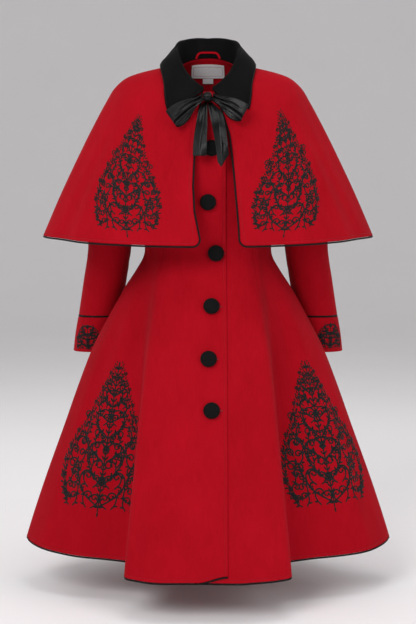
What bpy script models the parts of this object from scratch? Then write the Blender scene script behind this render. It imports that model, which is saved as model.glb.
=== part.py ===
# Swing coat with a shoulder cape, held up hollow as if worn.
# Metres, +Z up, the front faces -Y, the wearer's left side is at +X.
# Angles run in degrees round the body: 0 front, 90 the +X side, 180 back.
import bpy
import bmesh
import numpy as np

mm = 0.001
clothWall = 2.5 * mm
collarWall = 3.0 * mm
ribbonWall = 1.2 * mm
seamGap = 0.3 * mm
underLap = clothWall + 0.5 * mm
pipingWidth = 3.6 * mm
buttonWidth = 34 * mm
buttonHeight = 11 * mm
ringCorner = 0.9      # below 1 squares the rings a little
ringDip = 1.8         # how fast a ring's height turns from side to front
hemDip = 0.5          # the same at the hem, where only the sides are higher

# Rings of the body from the hem up: share of the hem outline, half width,
# front and back depth, then the ring's height at front, side and back.
bodyRings = np.array([
    # share  width  front   back   zFront   zSide   zBack
    (1.000, 0.134, -0.118, 0.086, -1.041, -1.016, -1.030),
    (0.921, 0.134, -0.118, 0.086, -0.972, -0.951, -0.962),
    (0.815, 0.134, -0.118, 0.086, -0.888, -0.870, -0.879),
    (0.676, 0.134, -0.118, 0.086, -0.784, -0.770, -0.777),
    (0.553, 0.134, -0.118, 0.086, -0.691, -0.680, -0.685),
    (0.440, 0.134, -0.118, 0.086, -0.613, -0.604, -0.608),
    (0.328, 0.134, -0.118, 0.086, -0.553, -0.546, -0.549),
    (0.244, 0.134, -0.118, 0.086, -0.510, -0.505, -0.507),
    (0.165, 0.134, -0.118, 0.086, -0.472, -0.469, -0.470),
    (0.075, 0.134, -0.118, 0.086, -0.433, -0.432, -0.432),
    (0.012, 0.134, -0.118, 0.086, -0.402, -0.402, -0.402),
    (0.000, 0.135, -0.119, 0.088, -0.378, -0.378, -0.378),
    (0.000, 0.141, -0.124, 0.094, -0.335, -0.335, -0.335),
    (0.000, 0.150, -0.132, 0.103, -0.275, -0.275, -0.275),
    (0.000, 0.157, -0.138, 0.112, -0.222, -0.225, -0.222),
    (0.000, 0.161, -0.138, 0.116, -0.190, -0.185, -0.180),
    (0.000, 0.169, -0.134, 0.116, -0.163, -0.140, -0.145),
    (0.000, 0.175, -0.130, 0.114, -0.143, -0.098, -0.115),
    (0.000, 0.177, -0.126, 0.110, -0.128, -0.062, -0.088),
    (0.000, 0.170, -0.121, 0.105, -0.114, -0.036, -0.066),
    (0.000, 0.145, -0.113, 0.096, -0.098, -0.022, -0.040),
    (0.000, 0.105, -0.102, 0.082, -0.080, -0.011, -0.010),
    (0.000, 0.066, -0.0890, 0.062, -0.060, -0.002, 0.022)])
underarmRow = 15
shoulderRow = 19
neckRow = 22

# Outline of the hem seen from above, one half: crest of the front panel at
# 42 degrees, its deep valley at 56, the side crest at 91, soft folds behind.
hemOutline = np.array([
    # angle      x       y
    (0.0, 0.0000, -0.302),
    (18.0, 0.0790, -0.299),
    (33.0, 0.1420, -0.287),
    (42.0, 0.1680, -0.266),
    (47.0, 0.1660, -0.234),
    (51.0, 0.1590, -0.200),
    (56.0, 0.1630, -0.165),
    (63.0, 0.2030, -0.144),
    (72.0, 0.2790, -0.120),
    (82.0, 0.3550, -0.077),
    (91.0, 0.3960, -0.010),
    (99.0, 0.3860, 0.040),
    (108.0, 0.3290, 0.078),
    (118.0, 0.2680, 0.118),
    (128.0, 0.2480, 0.175),
    (137.0, 0.2150, 0.222),
    (147.0, 0.1550, 0.216),
    (158.0, 0.1120, 0.262),
    (169.0, 0.0550, 0.274),
    (180.0, 0.0000, 0.256)])

# Smaller waves that keep the two sides from being alike: place, spread and
# depth at the hem.
skirtWaves = np.array([
    # angle  spread  depth
    (14.0, 9.0, 0.006),
    (-22.0, 8.0, 0.007),
    (-70.0, 7.0, 0.010),
    (76.0, 6.0, 0.008),
    (-116.0, 8.0, -0.012),
    (124.0, 7.0, 0.010),
    (-150.0, 7.0, 0.014),
    (176.0, 8.0, -0.010)])

# Rings of the cape from the neck down, in the same columns.
capeRings = np.array([
    # share  width  front   back   zFront   zSide   zBack
    (0.0, 0.0702, -0.0950, 0.0665, -0.0595, 0.0015, 0.0235),
    (0.0, 0.1085, -0.1095, 0.0875, -0.0800, -0.0060, -0.0050),
    (0.0, 0.1485, -0.1225, 0.1025, -0.1000, -0.0160, -0.0360),
    (0.0, 0.1765, -0.1310, 0.1130, -0.1220, -0.0275, -0.0660),
    (0.0, 0.1990, -0.1400, 0.1220, -0.1450, -0.0480, -0.0920),
    (0.0, 0.2140, -0.1470, 0.1280, -0.1700, -0.0720, -0.1180),
    (0.0, 0.2330, -0.1530, 0.1340, -0.2000, -0.1060, -0.1520),
    (0.0, 0.2630, -0.1620, 0.1420, -0.2420, -0.1640, -0.2040),
    (0.0, 0.3120, -0.1770, 0.1560, -0.3050, -0.2660, -0.2860),
    (0.0, 0.3540, -0.1930, 0.1700, -0.3800, -0.3620, -0.3660)])
capeWaves = np.array([
    # angle  spread  depth
    (33.0, 12.0, 0.007),
    (-36.0, 12.0, 0.007),
    (63.0, 9.0, -0.008),
    (-60.0, 9.0, -0.009),
    (118.0, 11.0, 0.010),
    (-126.0, 12.0, 0.010),
    (150.0, 10.0, -0.008),
    (-160.0, 10.0, 0.006),
    (178.0, 9.0, 0.008)])

# Front edges of the cape: height, then where each edge stands.
capeEdge = np.array([
    # height   -X edge  +X edge
    (-0.380, -0.0150, 0.0630),
    (-0.361, -0.0190, 0.0620),
    (-0.320, -0.0265, 0.0590),
    (-0.262, -0.0290, 0.0540),
    (-0.198, -0.0258, 0.0475),
    (-0.156, -0.0225, 0.0422),
    (-0.100, -0.0160, 0.0260),
    (-0.0595, -0.0100, 0.0120)])
capeCorner = 13 * mm

# Front edges of the coat itself: row, the over front's edge, the under one's.
coatEdge = np.array([
    # row    over    under
    (0.0, 0.0400, -0.028),
    (11.0, 0.0380, -0.028),
    (19.0, 0.0370, -0.026),
    (20.0, 0.0320, -0.022),
    (21.0, 0.0210, -0.014),
    (22.0, 0.0080, -0.004)])
overRise = 14 * mm

# Seams of the princess cut: row, front seam, side seam, back seam.
seamAngles = np.array([
    # row   front  side  back
    (0.0, 49.0, 91.0, 137.0),
    (6.0, 47.0, 91.0, 138.0),
    (11.0, 41.0, 90.0, 142.0),
    (15.0, 35.0, 90.0, 147.0),
    (22.0, 34.0, 90.0, 147.0)])
armholeHalfAngle = 36.0

# A two-piece sleeve: the under sleeve runs from the front seam to the back seam,
# in degrees round the sleeve from its outer side, through the front at 90.
sleeveSeams = (150.0, 275.0)

# Rings of a sleeve: outer and inner point, middle and half depth in Y.
sleeveRings = np.array([
    # outX    outZ    inX     inZ     midY   halfY
    (0.1970, -0.0560, 0.1660, -0.197, -0.003, 0.066),
    (0.2100, -0.0850, 0.1665, -0.213, -0.002, 0.063),
    (0.2230, -0.1200, 0.1670, -0.233, 0.000, 0.060),
    (0.2420, -0.1800, 0.1660, -0.262, 0.004, 0.057),
    (0.2570, -0.2450, 0.1650, -0.296, 0.011, 0.054),
    (0.2620, -0.3150, 0.1645, -0.337, 0.021, 0.051),
    (0.2600, -0.3850, 0.1670, -0.388, 0.034, 0.048),
    (0.2725, -0.4600, 0.1790, -0.460, 0.056, 0.047),
    (0.2860, -0.5360, 0.1920, -0.536, 0.080, 0.047)])
cuffRings = np.array([
    # outX    outZ    inX     inZ     midY   halfY
    (0.2872, -0.5404, 0.1916, -0.5404, 0.0812, 0.0478),
    (0.2940, -0.5790, 0.1980, -0.5790, 0.0905, 0.0480),
    (0.3000, -0.6180, 0.2040, -0.6180, 0.1000, 0.0480)])

# Collar: angle at the neck, height of its stand over the neck seam, the place
# of its outer edge on the cape as angle and row, radius of the roll.
collarCut = np.array([
    # angle  stand   edgeAngle edgeRow  roll
    (6.0, 0.0080, 27.0, 2.80, 0.0066),
    (14.0, 0.0118, 33.0, 2.15, 0.0063),
    (24.0, 0.0160, 41.0, 1.60, 0.0058),
    (45.0, 0.0220, 57.0, 1.08, 0.0050),
    (60.0, 0.0280, 67.5, 0.94, 0.0048),
    (75.0, 0.0335, 78.5, 0.84, 0.0046),
    (90.0, 0.0385, 90.0, 0.80, 0.0046),
    (118.0, 0.0510, 118.0, 0.84, 0.0046),
    (135.0, 0.0490, 135.0, 0.88, 0.0046),
    (180.0, 0.0425, 180.0, 0.92, 0.0046)])
fallBulge = 0.55         # below 1 rounds the fall outwards
footLift = 0.9 * mm      # clears the neck edge between its corners
collarLift = 5.0 * mm

buttonPlaces = np.array([
    # x       z
    (0.0072, -0.179),
    (0.0000, -0.288),
    (0.0159, -0.394),
    (0.0071, -0.501),
    (0.0012, -0.605),
    (0.0075, -0.706)])

# Bow loops: place of the end, width there, tilt of the ribbon and where it leaves the knot in mm.
loopSwell = 8.0 * mm
bowKnot = dict(x=-0.001, z=-0.0735, halfX=0.0095, halfY=0.0065, halfZ=0.0100)
bowLoops = [
    dict(name="bow_loop_right", endX=-0.0745, endZ=-0.1205, width=0.037, turn=-28.0, start=0.8),
    dict(name="bow_loop_left", endX=0.0750, endZ=-0.1090, width=0.033, turn=36.0, start=-0.3)]
# Tails: height, middle and half width of the ribbon, depth ahead of the knot.
bowTails = {
    "bow_tail_right": np.array([
        (-0.0838, -0.0056, 0.0036, 0.0025),
        (-0.1050, -0.0105, 0.0088, -0.016),
        (-0.1350, -0.0135, 0.0120, -0.036),
        (-0.1680, -0.0160, 0.0135, -0.046),
        (-0.1950, -0.0168, 0.0140, -0.048)]),
    "bow_tail_left": np.array([
        (-0.0838, 0.0038, 0.0034, 0.0025),
        (-0.1050, 0.0150, 0.0125, -0.018),
        (-0.1350, 0.0215, 0.0135, -0.039),
        (-0.1700, 0.0275, 0.0120, -0.049),
        (-0.2020, 0.0310, 0.0115, -0.051)])}
tailSlant = 26 * mm

colours = {
    "wool": (0.42, 0.012, 0.030, 0.85),
    "collar": (0.012, 0.011, 0.011, 0.9),
    "satin": (0.015, 0.015, 0.017, 0.35),
    "piping": (0.012, 0.018, 0.019, 0.6),
    "button": (0.010, 0.010, 0.011, 0.5),
    "label": (0.60, 0.58, 0.58, 0.5)}


def smoothTable(knots, values, at):
    """Hermite curve through table rows, slopes from neighbouring rows."""
    slopes = np.gradient(values, knots, axis=0)
    row = np.clip(np.searchsorted(knots, at, side="right") - 1, 0, len(knots) - 2)
    span = (knots[row + 1] - knots[row])[..., None]
    s = ((at - knots[row])[..., None]) / span
    a, b = values[row], values[row + 1]
    ma, mb = slopes[row] * span, slopes[row + 1] * span
    return ((2 * s**3 - 3 * s**2 + 1) * a + (s**3 - 2 * s**2 + s) * ma
            + (3 * s**2 - 2 * s**3) * b + (s**3 - s**2) * mb)


def smoothStep(low, high, at):
    """0 below low, 1 above high, eased between."""
    s = np.clip((at - low) / (high - low), 0, 1)
    return s * s * (3 - 2 * s)


def hemPoint(angle):
    """Point of the hem outline, mirrored for the -X half."""
    half = np.abs((angle + 180) % 360 - 180)
    table = hemOutline
    before, after = table[1:3][::-1] * (-1, -1, 1), table[-3:-1][::-1] * (-1, -1, 1)
    after[:, 0] += 360
    full = np.vstack([before, table, after])
    xy = smoothTable(full[:, 0], full[:, 1:], half)
    side = np.where((angle + 180) % 360 < 180, -1.0, 1.0)
    return xy[..., 0] * side, xy[..., 1]


def waveDepth(waves, angle):
    """Sum of soft ridges, each depth * exp(-((angle - place) / spread)^2)."""
    total = np.zeros_like(angle)
    for place, spread, depth in waves:
        away = (angle - place + 180) % 360 - 180
        total = total + depth * np.exp(-(away / spread) ** 2)
    return total


def ringPoint(rings, waves, fade, angle, row):
    """Point at an angle and a (fractional) row of a ring table."""
    angle, row = np.broadcast_arrays(np.asarray(angle, float), np.asarray(row, float))
    ring = smoothTable(np.arange(len(rings), dtype=float), rings, row)
    share, width, front, back, zFront, zSide, zBack = np.moveaxis(ring, -1, 0)
    turn = np.radians(angle)
    sin, cos = np.sin(turn), np.cos(turn)
    corner = lambda c: np.sign(c) * np.abs(c) ** ringCorner
    x = width * corner(sin)
    y = np.where(cos > 0, front, -back) * corner(cos)
    dip = np.abs(cos) ** (ringDip * (1 - share) + hemDip * share)
    z = zSide + (np.where(cos > 0, zFront, zBack) - zSide) * dip
    hemX, hemY = hemPoint(angle)
    wave = waveDepth(waves, angle) * fade(row)
    x = x * (1 - share) + hemX * share + wave * sin
    y = y * (1 - share) + hemY * share - wave * cos
    return np.stack([x, y, z], axis=-1)


def bodyPoint(angle, row):
    return ringPoint(bodyRings, skirtWaves, lambda r: smoothStep(9, 0, r) ** 1.3, angle, row)


def capePoint(angle, row):
    return ringPoint(capeRings, capeWaves, lambda r: smoothStep(3.5, 9, r), angle, row)


def surfaceNormal(surface, u, v, flip=1.0):
    """Unit normal from central differences of a surface function."""
    du = surface(u + 0.05, v) - surface(u - 0.05, v)
    dv = surface(u, v + 0.01) - surface(u, v - 0.01)
    n = np.cross(du, dv) * flip
    return n / np.maximum(np.linalg.norm(n, axis=-1, keepdims=True), 1e-12)


def angleForLength(surface, angle, row, length):
    """Degrees that cover a length on a ring."""
    step = surface(angle + 0.1, row) - surface(angle - 0.1, row)
    return length * 0.2 / np.linalg.norm(step, axis=-1)


def rowsForLength(surface, angle, row, length):
    """Rows that cover a length down a panel."""
    step = surface(angle, row + 0.02) - surface(angle, row - 0.02)
    return length * 0.04 / np.linalg.norm(step, axis=-1)


def angleForArc(row, length):
    """Degrees from the centre back that cover a length along the neck."""
    angles = np.linspace(180, 250, 141)
    line = bodyPoint(angles, np.full_like(angles, row))
    reach = np.concatenate([[0], np.cumsum(np.linalg.norm(np.diff(line, axis=0), axis=1))])
    return np.interp(length, reach, angles - 180)


def angleAtX(surface, row, x):
    """Angle near the front where a ring reaches x."""
    angles = np.linspace(-60, 60, 241)
    found = []
    for r, wanted in zip(row, x):
        found.append(np.interp(wanted, surface(angles, np.full_like(angles, r))[:, 0], angles))
    return np.array(found)


def frontDepth(surface, rows, x, z):
    """Depth of a surface of the chest at a place seen from the front."""
    angles, rowGrid = np.meshgrid(np.linspace(-60, 60, 241), rows)
    points = surface(angles, rowGrid)
    away = np.hypot(points[..., 0] - x, points[..., 2] - z)
    return points[..., 1].ravel()[away.argmin()]


def makeMaterial(slot):
    if slot in bpy.data.materials:
        return bpy.data.materials[slot]
    material = bpy.data.materials.new(slot)
    material.use_nodes = True
    shader = material.node_tree.nodes["Principled BSDF"]
    shader.inputs["Base Color"].default_value = (*colours[slot][:3], 1)
    shader.inputs["Roughness"].default_value = colours[slot][3]
    shader.inputs["Metallic"].default_value = 0.0
    return material


def makeObject(name, points, faces, slot):
    mesh = bpy.data.meshes.new(name)
    mesh.from_pydata([tuple(p) for p in points], [], faces)
    bm = bmesh.new()
    bm.from_mesh(mesh)
    bmesh.ops.recalc_face_normals(bm, faces=bm.faces)
    bm.to_mesh(mesh)
    bm.free()
    mesh.shade_smooth()
    mesh.set_sharp_from_angle(angle=np.radians(40))
    mesh.materials.append(makeMaterial(slot))
    thing = bpy.data.objects.new(name, mesh)
    bpy.context.collection.objects.link(thing)
    return thing


def wallObject(name, outer, inner, slot, ring=False):
    """Closed wall between two grids of points; ring joins the last column to the first."""
    rows, columns = outer.shape[:2]
    points = np.vstack([outer.reshape(-1, 3), inner.reshape(-1, 3)])
    other = rows * columns
    spans = columns if ring else columns - 1
    faces = []
    for r in range(rows - 1):
        for c in range(spans):
            a, b = r * columns + c, r * columns + (c + 1) % columns
            d, e = a + columns, b + columns
            faces.append((a, b, e, d))
            faces.append((a + other, d + other, e + other, b + other))
    for r in (0, rows - 1):
        for c in range(spans):
            a, b = r * columns + c, r * columns + (c + 1) % columns
            quad = (a, a + other, b + other, b)
            faces.append(quad if r == 0 else quad[::-1])
    if not ring:
        for c in (0, columns - 1):
            for r in range(rows - 1):
                a, d = r * columns + c, (r + 1) * columns + c
                quad = (a, d, d + other, a + other)
                faces.append(quad if c == 0 else quad[::-1])
    return makeObject(name, points, faces, slot)


def stripObject(name, path, normals, side, slot, ring=False):
    """Square cord carried beside an edge: its section stands off by the seam gap."""
    along = np.roll(path, -1, 0) - np.roll(path, 1, 0) if ring else np.gradient(path, axis=0)
    along /= np.linalg.norm(along, axis=1, keepdims=True)
    out = np.cross(along, normals) * side
    out /= np.linalg.norm(out, axis=1, keepdims=True)
    near = path + out * seamGap
    if not ring:
        near[0] += along[0] * 0.4 * mm
        near[-1] -= along[-1] * 0.4 * mm
    far = near + out * pipingWidth
    outer = np.stack([near, far])
    return wallObject(name, outer, outer - normals * clothWall, slot, ring)


def bodyWall(angles, rows, lift):
    """Outer and inner points of a coat panel, both from the body's own surface."""
    n = surfaceNormal(bodyPoint, angles, rows)
    outer = bodyPoint(angles, rows) + n * lift[..., None]
    return outer, outer - n * clothWall, n


def seamAt(rows, column):
    return np.interp(rows, seamAngles[:, 0], seamAngles[:, column])


def armholeAngle(rows):
    """Half angle of the armhole at a row: an ellipse from underarm to shoulder."""
    middle, half = (underarmRow + shoulderRow) / 2, (shoulderRow - underarmRow) / 2
    return armholeHalfAngle * np.sqrt(np.clip(1 - ((rows - middle) / half) ** 2, 0, 1))


def makePanel(name, rowList, shares, startAngle, endAngle, side, lift, rise):
    """Panel from hem to neck between two seam angles; its hem piping goes below."""
    rows = np.array(rowList, float)
    start, end = startAngle(rows), endAngle(rows)
    direction = np.sign(end - start).max()
    gapStart = angleForLength(bodyPoint, side * start, rows, seamGap / 2)
    gapEnd = angleForLength(bodyPoint, side * end, rows, seamGap / 2)
    start, end = start + direction * gapStart, end - direction * gapEnd
    angles = side * (start[:, None] + (end - start)[:, None] * np.array(shares)[None, :])
    rowGrid = np.repeat(rows[:, None], len(shares), 1)
    hemLift = (pipingWidth + seamGap) * np.ones(len(shares)) + rise(angles[0])
    rowGrid = rowGrid + smoothStep(3, 0, rowGrid) * rowsForLength(bodyPoint, angles[0], rowGrid[0], hemLift)
    outer, inner, n = bodyWall(angles, rowGrid, lift(angles, rowGrid))
    wallObject("coat_" + name, outer, inner, "wool")
    down = -1.0 if angles[0, 1] > angles[0, 0] else 1.0
    stripObject("hem_piping_" + name, outer[0], n[0], -down, "piping")


def makeCoatBody():
    panelRows = list(range(16)) + [15.3, 16, 17, 18, 18.7] + [19, 20, 21, 22]
    flat = lambda angles, rows: np.zeros_like(angles)
    level = lambda angles: np.zeros_like(angles)
    edge = lambda column: lambda rows: angleAtX(
        bodyPoint, rows, np.interp(rows, coatEdge[:, 0], coatEdge[:, column]))

    def overHemRise(angles):
        x = bodyPoint(angles, np.zeros_like(angles))[..., 0]
        return overRise * smoothStep(-0.022, 0.040, x)

    def underLift(angles, rows):
        x = bodyPoint(angles, rows)[..., 0]
        over = np.interp(rows, coatEdge[:, 0], coatEdge[:, 1])
        return -underLap * (1 - smoothStep(over + 0.006, over + 0.040, x))

    frontShares = [0, 0.1, 0.26, 0.43, 0.6, 0.74, 0.84, 0.91, 0.96, 1]
    makePanel("front_right", panelRows, frontShares, lambda r: -edge(1)(r), lambda r: seamAt(r, 1),
              -1, flat, overHemRise)
    makePanel("front_left", panelRows, frontShares, edge(2), lambda r: seamAt(r, 1),
              1, underLift, level)
    for word, side in (("right", -1), ("left", 1)):
        makePanel("side_front_" + word, panelRows, [0, 0.12, 0.26, 0.42, 0.6, 0.8, 1],
                  lambda r: seamAt(r, 1), lambda r: seamAt(r, 2) - armholeAngle(r), side, flat, level)
        makePanel("side_back_" + word, panelRows, [0, 0.17, 0.36, 0.55, 0.78, 1],
                  lambda r: seamAt(r, 2) + armholeAngle(r), lambda r: seamAt(r, 3), side, flat, level)
        makePanel("back_" + word, panelRows, [0, 0.16, 0.33, 0.5, 0.75, 1],
                  lambda r: seamAt(r, 3), lambda r: np.full_like(r, 180.0), side, flat, level)


def tubePoint(rings, side, turn, row):
    """Sleeve point: middle + cos(turn) * half chord + sin(turn) * half depth forwards."""
    table = smoothTable(np.arange(len(rings), dtype=float), rings, row)
    outX, outZ, inX, inZ, midY, halfY = np.moveaxis(table, -1, 0)
    cos, sin = np.cos(np.radians(turn)), np.sin(np.radians(turn))
    x = (outX + inX) / 2 + cos * (outX - inX) / 2
    z = (outZ + inZ) / 2 + cos * (outZ - inZ) / 2
    return np.stack([side * x, midY - sin * halfY, z], axis=-1)


def sleevePoint(side, turn, row):
    """Row 0 is the armhole itself, rows 1 and on are the sleeve's rings."""
    middle, half = (underarmRow + shoulderRow) / 2, (shoulderRow - underarmRow) / 2
    inset = 0.985
    armhole = bodyPoint(side * (90 - armholeHalfAngle * inset * np.sin(np.radians(turn))),
                        middle + half * inset * np.cos(np.radians(turn)))
    count = len(sleeveRings)
    rings = [armhole] + [tubePoint(sleeveRings, side, turn, np.full_like(turn, float(k)))
                         for k in range(count)]
    rings = np.stack(rings)
    knots = np.arange(count + 1, dtype=float)
    slopes = np.gradient(rings, axis=0)
    low = np.clip(np.floor(row).astype(int), 0, count - 1)
    s = (row - knots[low])[..., None]
    pick = lambda table, index: np.take_along_axis(table, index[None, ..., None], 0)[0]
    a, b = pick(rings, low), pick(rings, low + 1)
    ma, mb = pick(slopes, low), pick(slopes, low + 1)
    return ((2 * s**3 - 3 * s**2 + 1) * a + (s**3 - 2 * s**2 + s) * ma
            + (3 * s**2 - 2 * s**3) * b + (s**3 - s**2) * mb)


def makeSleeves():
    front, back = sleeveSeams
    rows = np.array([0, 0.5, 1, 1.6, 2.3, 3, 4, 5, 6, 7, 8, 9], float)
    for word, side in (("right", -1), ("left", 1)):
        surface = lambda t, r: sleevePoint(side, t, np.clip(r, 0, 9))

        def sleeveGrid(start, end):
            # the columns between the seams stand every 22.5 degrees
            inside = np.arange(-90, 360, 22.5)
            turns = np.concatenate([[start], inside[(inside > start + 5) & (inside < end - 5)], [end]])
            # a little more at the armhole, where the wall bends sharply inwards
            half = (seamGap + 0.7 * mm * smoothStep(2.6, 0, rows)) / 2
            gapStart = angleForLength(surface, rows * 0 + start, rows, half)
            gapEnd = angleForLength(surface, rows * 0 + end, rows, half)
            shares = (turns - start) / (end - start)
            turnGrid = (start + gapStart)[:, None] + (end - start - gapStart - gapEnd)[:, None] * shares
            rowGrid = np.repeat(rows[:, None], len(turns), 1)
            n = surfaceNormal(surface, turnGrid, rowGrid, side)
            outer = surface(turnGrid, rowGrid)
            outer[0] += surfaceNormal(bodyPoint, side * 90 + turnGrid[0] * 0, turnGrid[0] * 0 + 17.0) * 0.6 * mm
            return outer, n

        outer, n = sleeveGrid(back - 360, front)
        wallObject("top_sleeve_" + word, outer, outer - n * clothWall, "wool")
        outer, n = sleeveGrid(front, back)
        wallObject("under_sleeve_" + word, outer, outer - n * clothWall, "wool")

        turns = np.linspace(0, 360, 17)[:-1]
        ending = np.full_like(turns, 9.0)
        stripObject("cuff_piping_" + word, surface(turns, ending),
                    surfaceNormal(surface, turns, ending, side), -side, "piping", ring=True)
        turnGrid, rowGrid = np.meshgrid(turns, np.linspace(0, 2, 4))
        surface = lambda t, r: tubePoint(cuffRings, side, t, r)
        n = surfaceNormal(surface, turnGrid, rowGrid, side)
        outer = surface(turnGrid, rowGrid)
        wallObject("cuff_" + word, outer, outer - n * clothWall, "wool", ring=True)


def capeWall(angles, rows):
    n = surfaceNormal(capePoint, angles, rows, -1)
    outer = capePoint(angles, rows)
    return outer, outer - n * clothWall, n


def makeCape():
    rows = np.array([0, 0.5, 1, 2, 3, 4, 5, 6, 7, 7.7, 8.3, 8.7, 9], float)
    hemTrim = pipingWidth + seamGap
    for word, side, column in (("right", -1, 1), ("left", 1, 2)):
        zFront = smoothTable(np.arange(10.0), capeRings, rows)[:, 4]
        edgeX = np.interp(zFront, capeEdge[:, 0], capeEdge[:, column])
        start = angleAtX(capePoint, rows, edgeX)
        start = start + side * angleForLength(capePoint, start, rows, hemTrim)
        seam = side * 90 - side * angleForLength(capePoint, side * 90.0 + rows * 0, rows, seamGap / 2)
        shares = np.array([0, 0.03, 0.075, 0.14, 0.24, 0.36, 0.5, 0.66, 0.83, 1])
        angles = start[:, None] + (seam - start)[:, None] * shares
        rowGrid = np.repeat(rows[:, None], len(shares), 1)
        hem = capePoint(angles[-1], rowGrid[-1])
        away = np.linalg.norm(hem - hem[:1], axis=-1)
        inCorner = np.clip(capeCorner - away, 0, capeCorner)
        corner = capeCorner - np.sqrt(capeCorner**2 - inCorner**2)
        rise = rowsForLength(capePoint, angles[-1], rowGrid[-1], hemTrim + corner)
        rowGrid = rowGrid - smoothStep(6, 9, rowGrid) * rise
        outer, inner, n = capeWall(angles, rowGrid)
        wallObject("cape_front_" + word, outer, inner, "wool")
        path = np.vstack([outer[:, 0], outer[-1, 1:]])
        normals = np.vstack([n[:, 0], n[-1, 1:]])
        stripObject("cape_piping_" + word, path, normals, side, "piping")
    shares = np.linspace(0, 1, 22)
    gap = angleForLength(capePoint, 90.0 + rows * 0, rows, seamGap / 2)
    angles = (90 + gap)[:, None] + (180 - 2 * gap)[:, None] * shares
    rowGrid = np.repeat(rows[:, None], len(shares), 1)
    rise = rowsForLength(capePoint, angles[-1], rowGrid[-1], hemTrim)
    rowGrid = rowGrid - smoothStep(6, 9, rowGrid) * rise
    outer, inner, n = capeWall(angles, rowGrid)
    wallObject("cape_back", outer, inner, "wool")
    stripObject("cape_piping_back", outer[-1], n[-1], 1, "piping")


def collarPoint(angle, step):
    """Collar section at an angle, 0 to 1 the stand, 1 to 2 the roll, 2 to 3 the fall."""
    turned = np.where(angle > 180, 360 - angle, angle)
    side = np.where(angle > 180, -1.0, 1.0)
    stand, edgeAngle, edgeRow, roll = np.moveaxis(smoothTable(collarCut[:, 0], collarCut[:, 1:], turned), -1, 0)
    turnSide = side * turned
    neck = bodyPoint(turnSide, np.full_like(turnSide, float(neckRow)))
    ahead = bodyPoint(turnSide + 1, np.full_like(turnSide, float(neckRow)))
    out = np.cross(ahead - neck, (0, 0, 1.0))
    out /= np.linalg.norm(out, axis=-1, keepdims=True)
    up = np.array((0, 0, 1.0))
    foot = neck - out * clothWall + up * footLift
    roll = roll[..., None]
    rollFoot = foot + up * (stand[..., None] - roll)
    standPart = foot + (rollFoot - foot) * np.clip(step, 0, 1)[..., None]
    bend = np.pi * (1 - np.clip(step - 1, 0, 1))[..., None]
    rollPart = rollFoot + out * roll + roll * (out * np.cos(bend) + up * np.sin(bend))
    share = np.clip(step - 2, 0, 1)
    fallAngle = turnSide + side * (edgeAngle - turned) * share
    fallRow = edgeRow * share
    onCape = capePoint(fallAngle, fallRow)
    n = surfaceNormal(capePoint, fallAngle, np.maximum(fallRow, 0.02), -1)
    rollEnd = rollFoot + out * 2 * roll
    zero = np.zeros_like(turnSide)
    atNeck = capePoint(turnSide, zero) + surfaceNormal(capePoint, turnSide, zero + 0.02, -1) * collarLift
    fallPart = onCape + n * collarLift + (rollEnd - atNeck) * ((1 - share) ** fallBulge)[..., None]
    step = step[..., None]
    return np.where(step <= 1, standPart, np.where(step <= 2, rollPart, fallPart))


def makeCollar():
    half = np.array([6, 10, 16, 24, 34, 46, 60, 75, 90, 108, 126, 144, 162, 180], float)
    angles = np.concatenate([half, 360 - half[::-1][1:]])
    steps = np.array([0, 1, 1.33, 1.66, 2, 2.3, 2.6, 2.82, 2.95, 3], float)
    angleGrid, stepGrid = np.meshgrid(angles, steps)
    outer = collarPoint(angleGrid, stepGrid)
    n = surfaceNormal(collarPoint, angleGrid, stepGrid)
    n *= -np.sign(n[0, len(half) - 1, 1])
    wallObject("collar", outer, outer - n * collarWall, "collar")


def makeButtons():
    turns = np.linspace(0, 2 * np.pi, 15)[:-1]
    # profile of a covered button: share of the radius, share of the height
    profile = [(0.80, 0.0), (1.0, 0.28), (0.93, 0.62), (0.66, 0.90), (0.30, 1.0)]
    for number, (x, z) in enumerate(buttonPlaces, 1):
        rows = np.linspace(0, neckRow, 600)
        angles = angleAtX(bodyPoint, rows, np.full_like(rows, x))
        line = bodyPoint(angles, rows)
        row = np.interp(z, line[:, 2], rows)
        angle = np.interp(row, rows, angles)
        seat = bodyPoint(angle, row)
        n = surfaceNormal(bodyPoint, np.array(angle), np.array(row))
        across = np.cross((0, 0, 1.0), n)
        across /= np.linalg.norm(across)
        upward = np.cross(n, across)
        nearAngles, nearRows = np.meshgrid(angle + np.linspace(-12, 12, 13), row + np.linspace(-0.7, 0.7, 15))
        near = bodyPoint(nearAngles, nearRows) - seat
        under = np.linalg.norm(near, axis=-1) < buttonWidth / 2 + 1 * mm
        rest = (near @ n)[under].max()
        points, faces = [], []
        for share, height in profile:
            ring = seat + n * (rest + seamGap + height * buttonHeight)
            for t in turns:
                points.append(ring + share * buttonWidth / 2 * (across * np.cos(t) + upward * np.sin(t)))
        count = len(turns)
        for r in range(len(profile) - 1):
            for c in range(count):
                a, b = r * count + c, r * count + (c + 1) % count
                faces.append((a, b, b + count, a + count))
        faces.append(tuple(range(count))[::-1])
        faces.append(tuple(range(len(points) - count, len(points))))
        makeObject("button_%d" % number, points, faces, "button")


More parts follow.
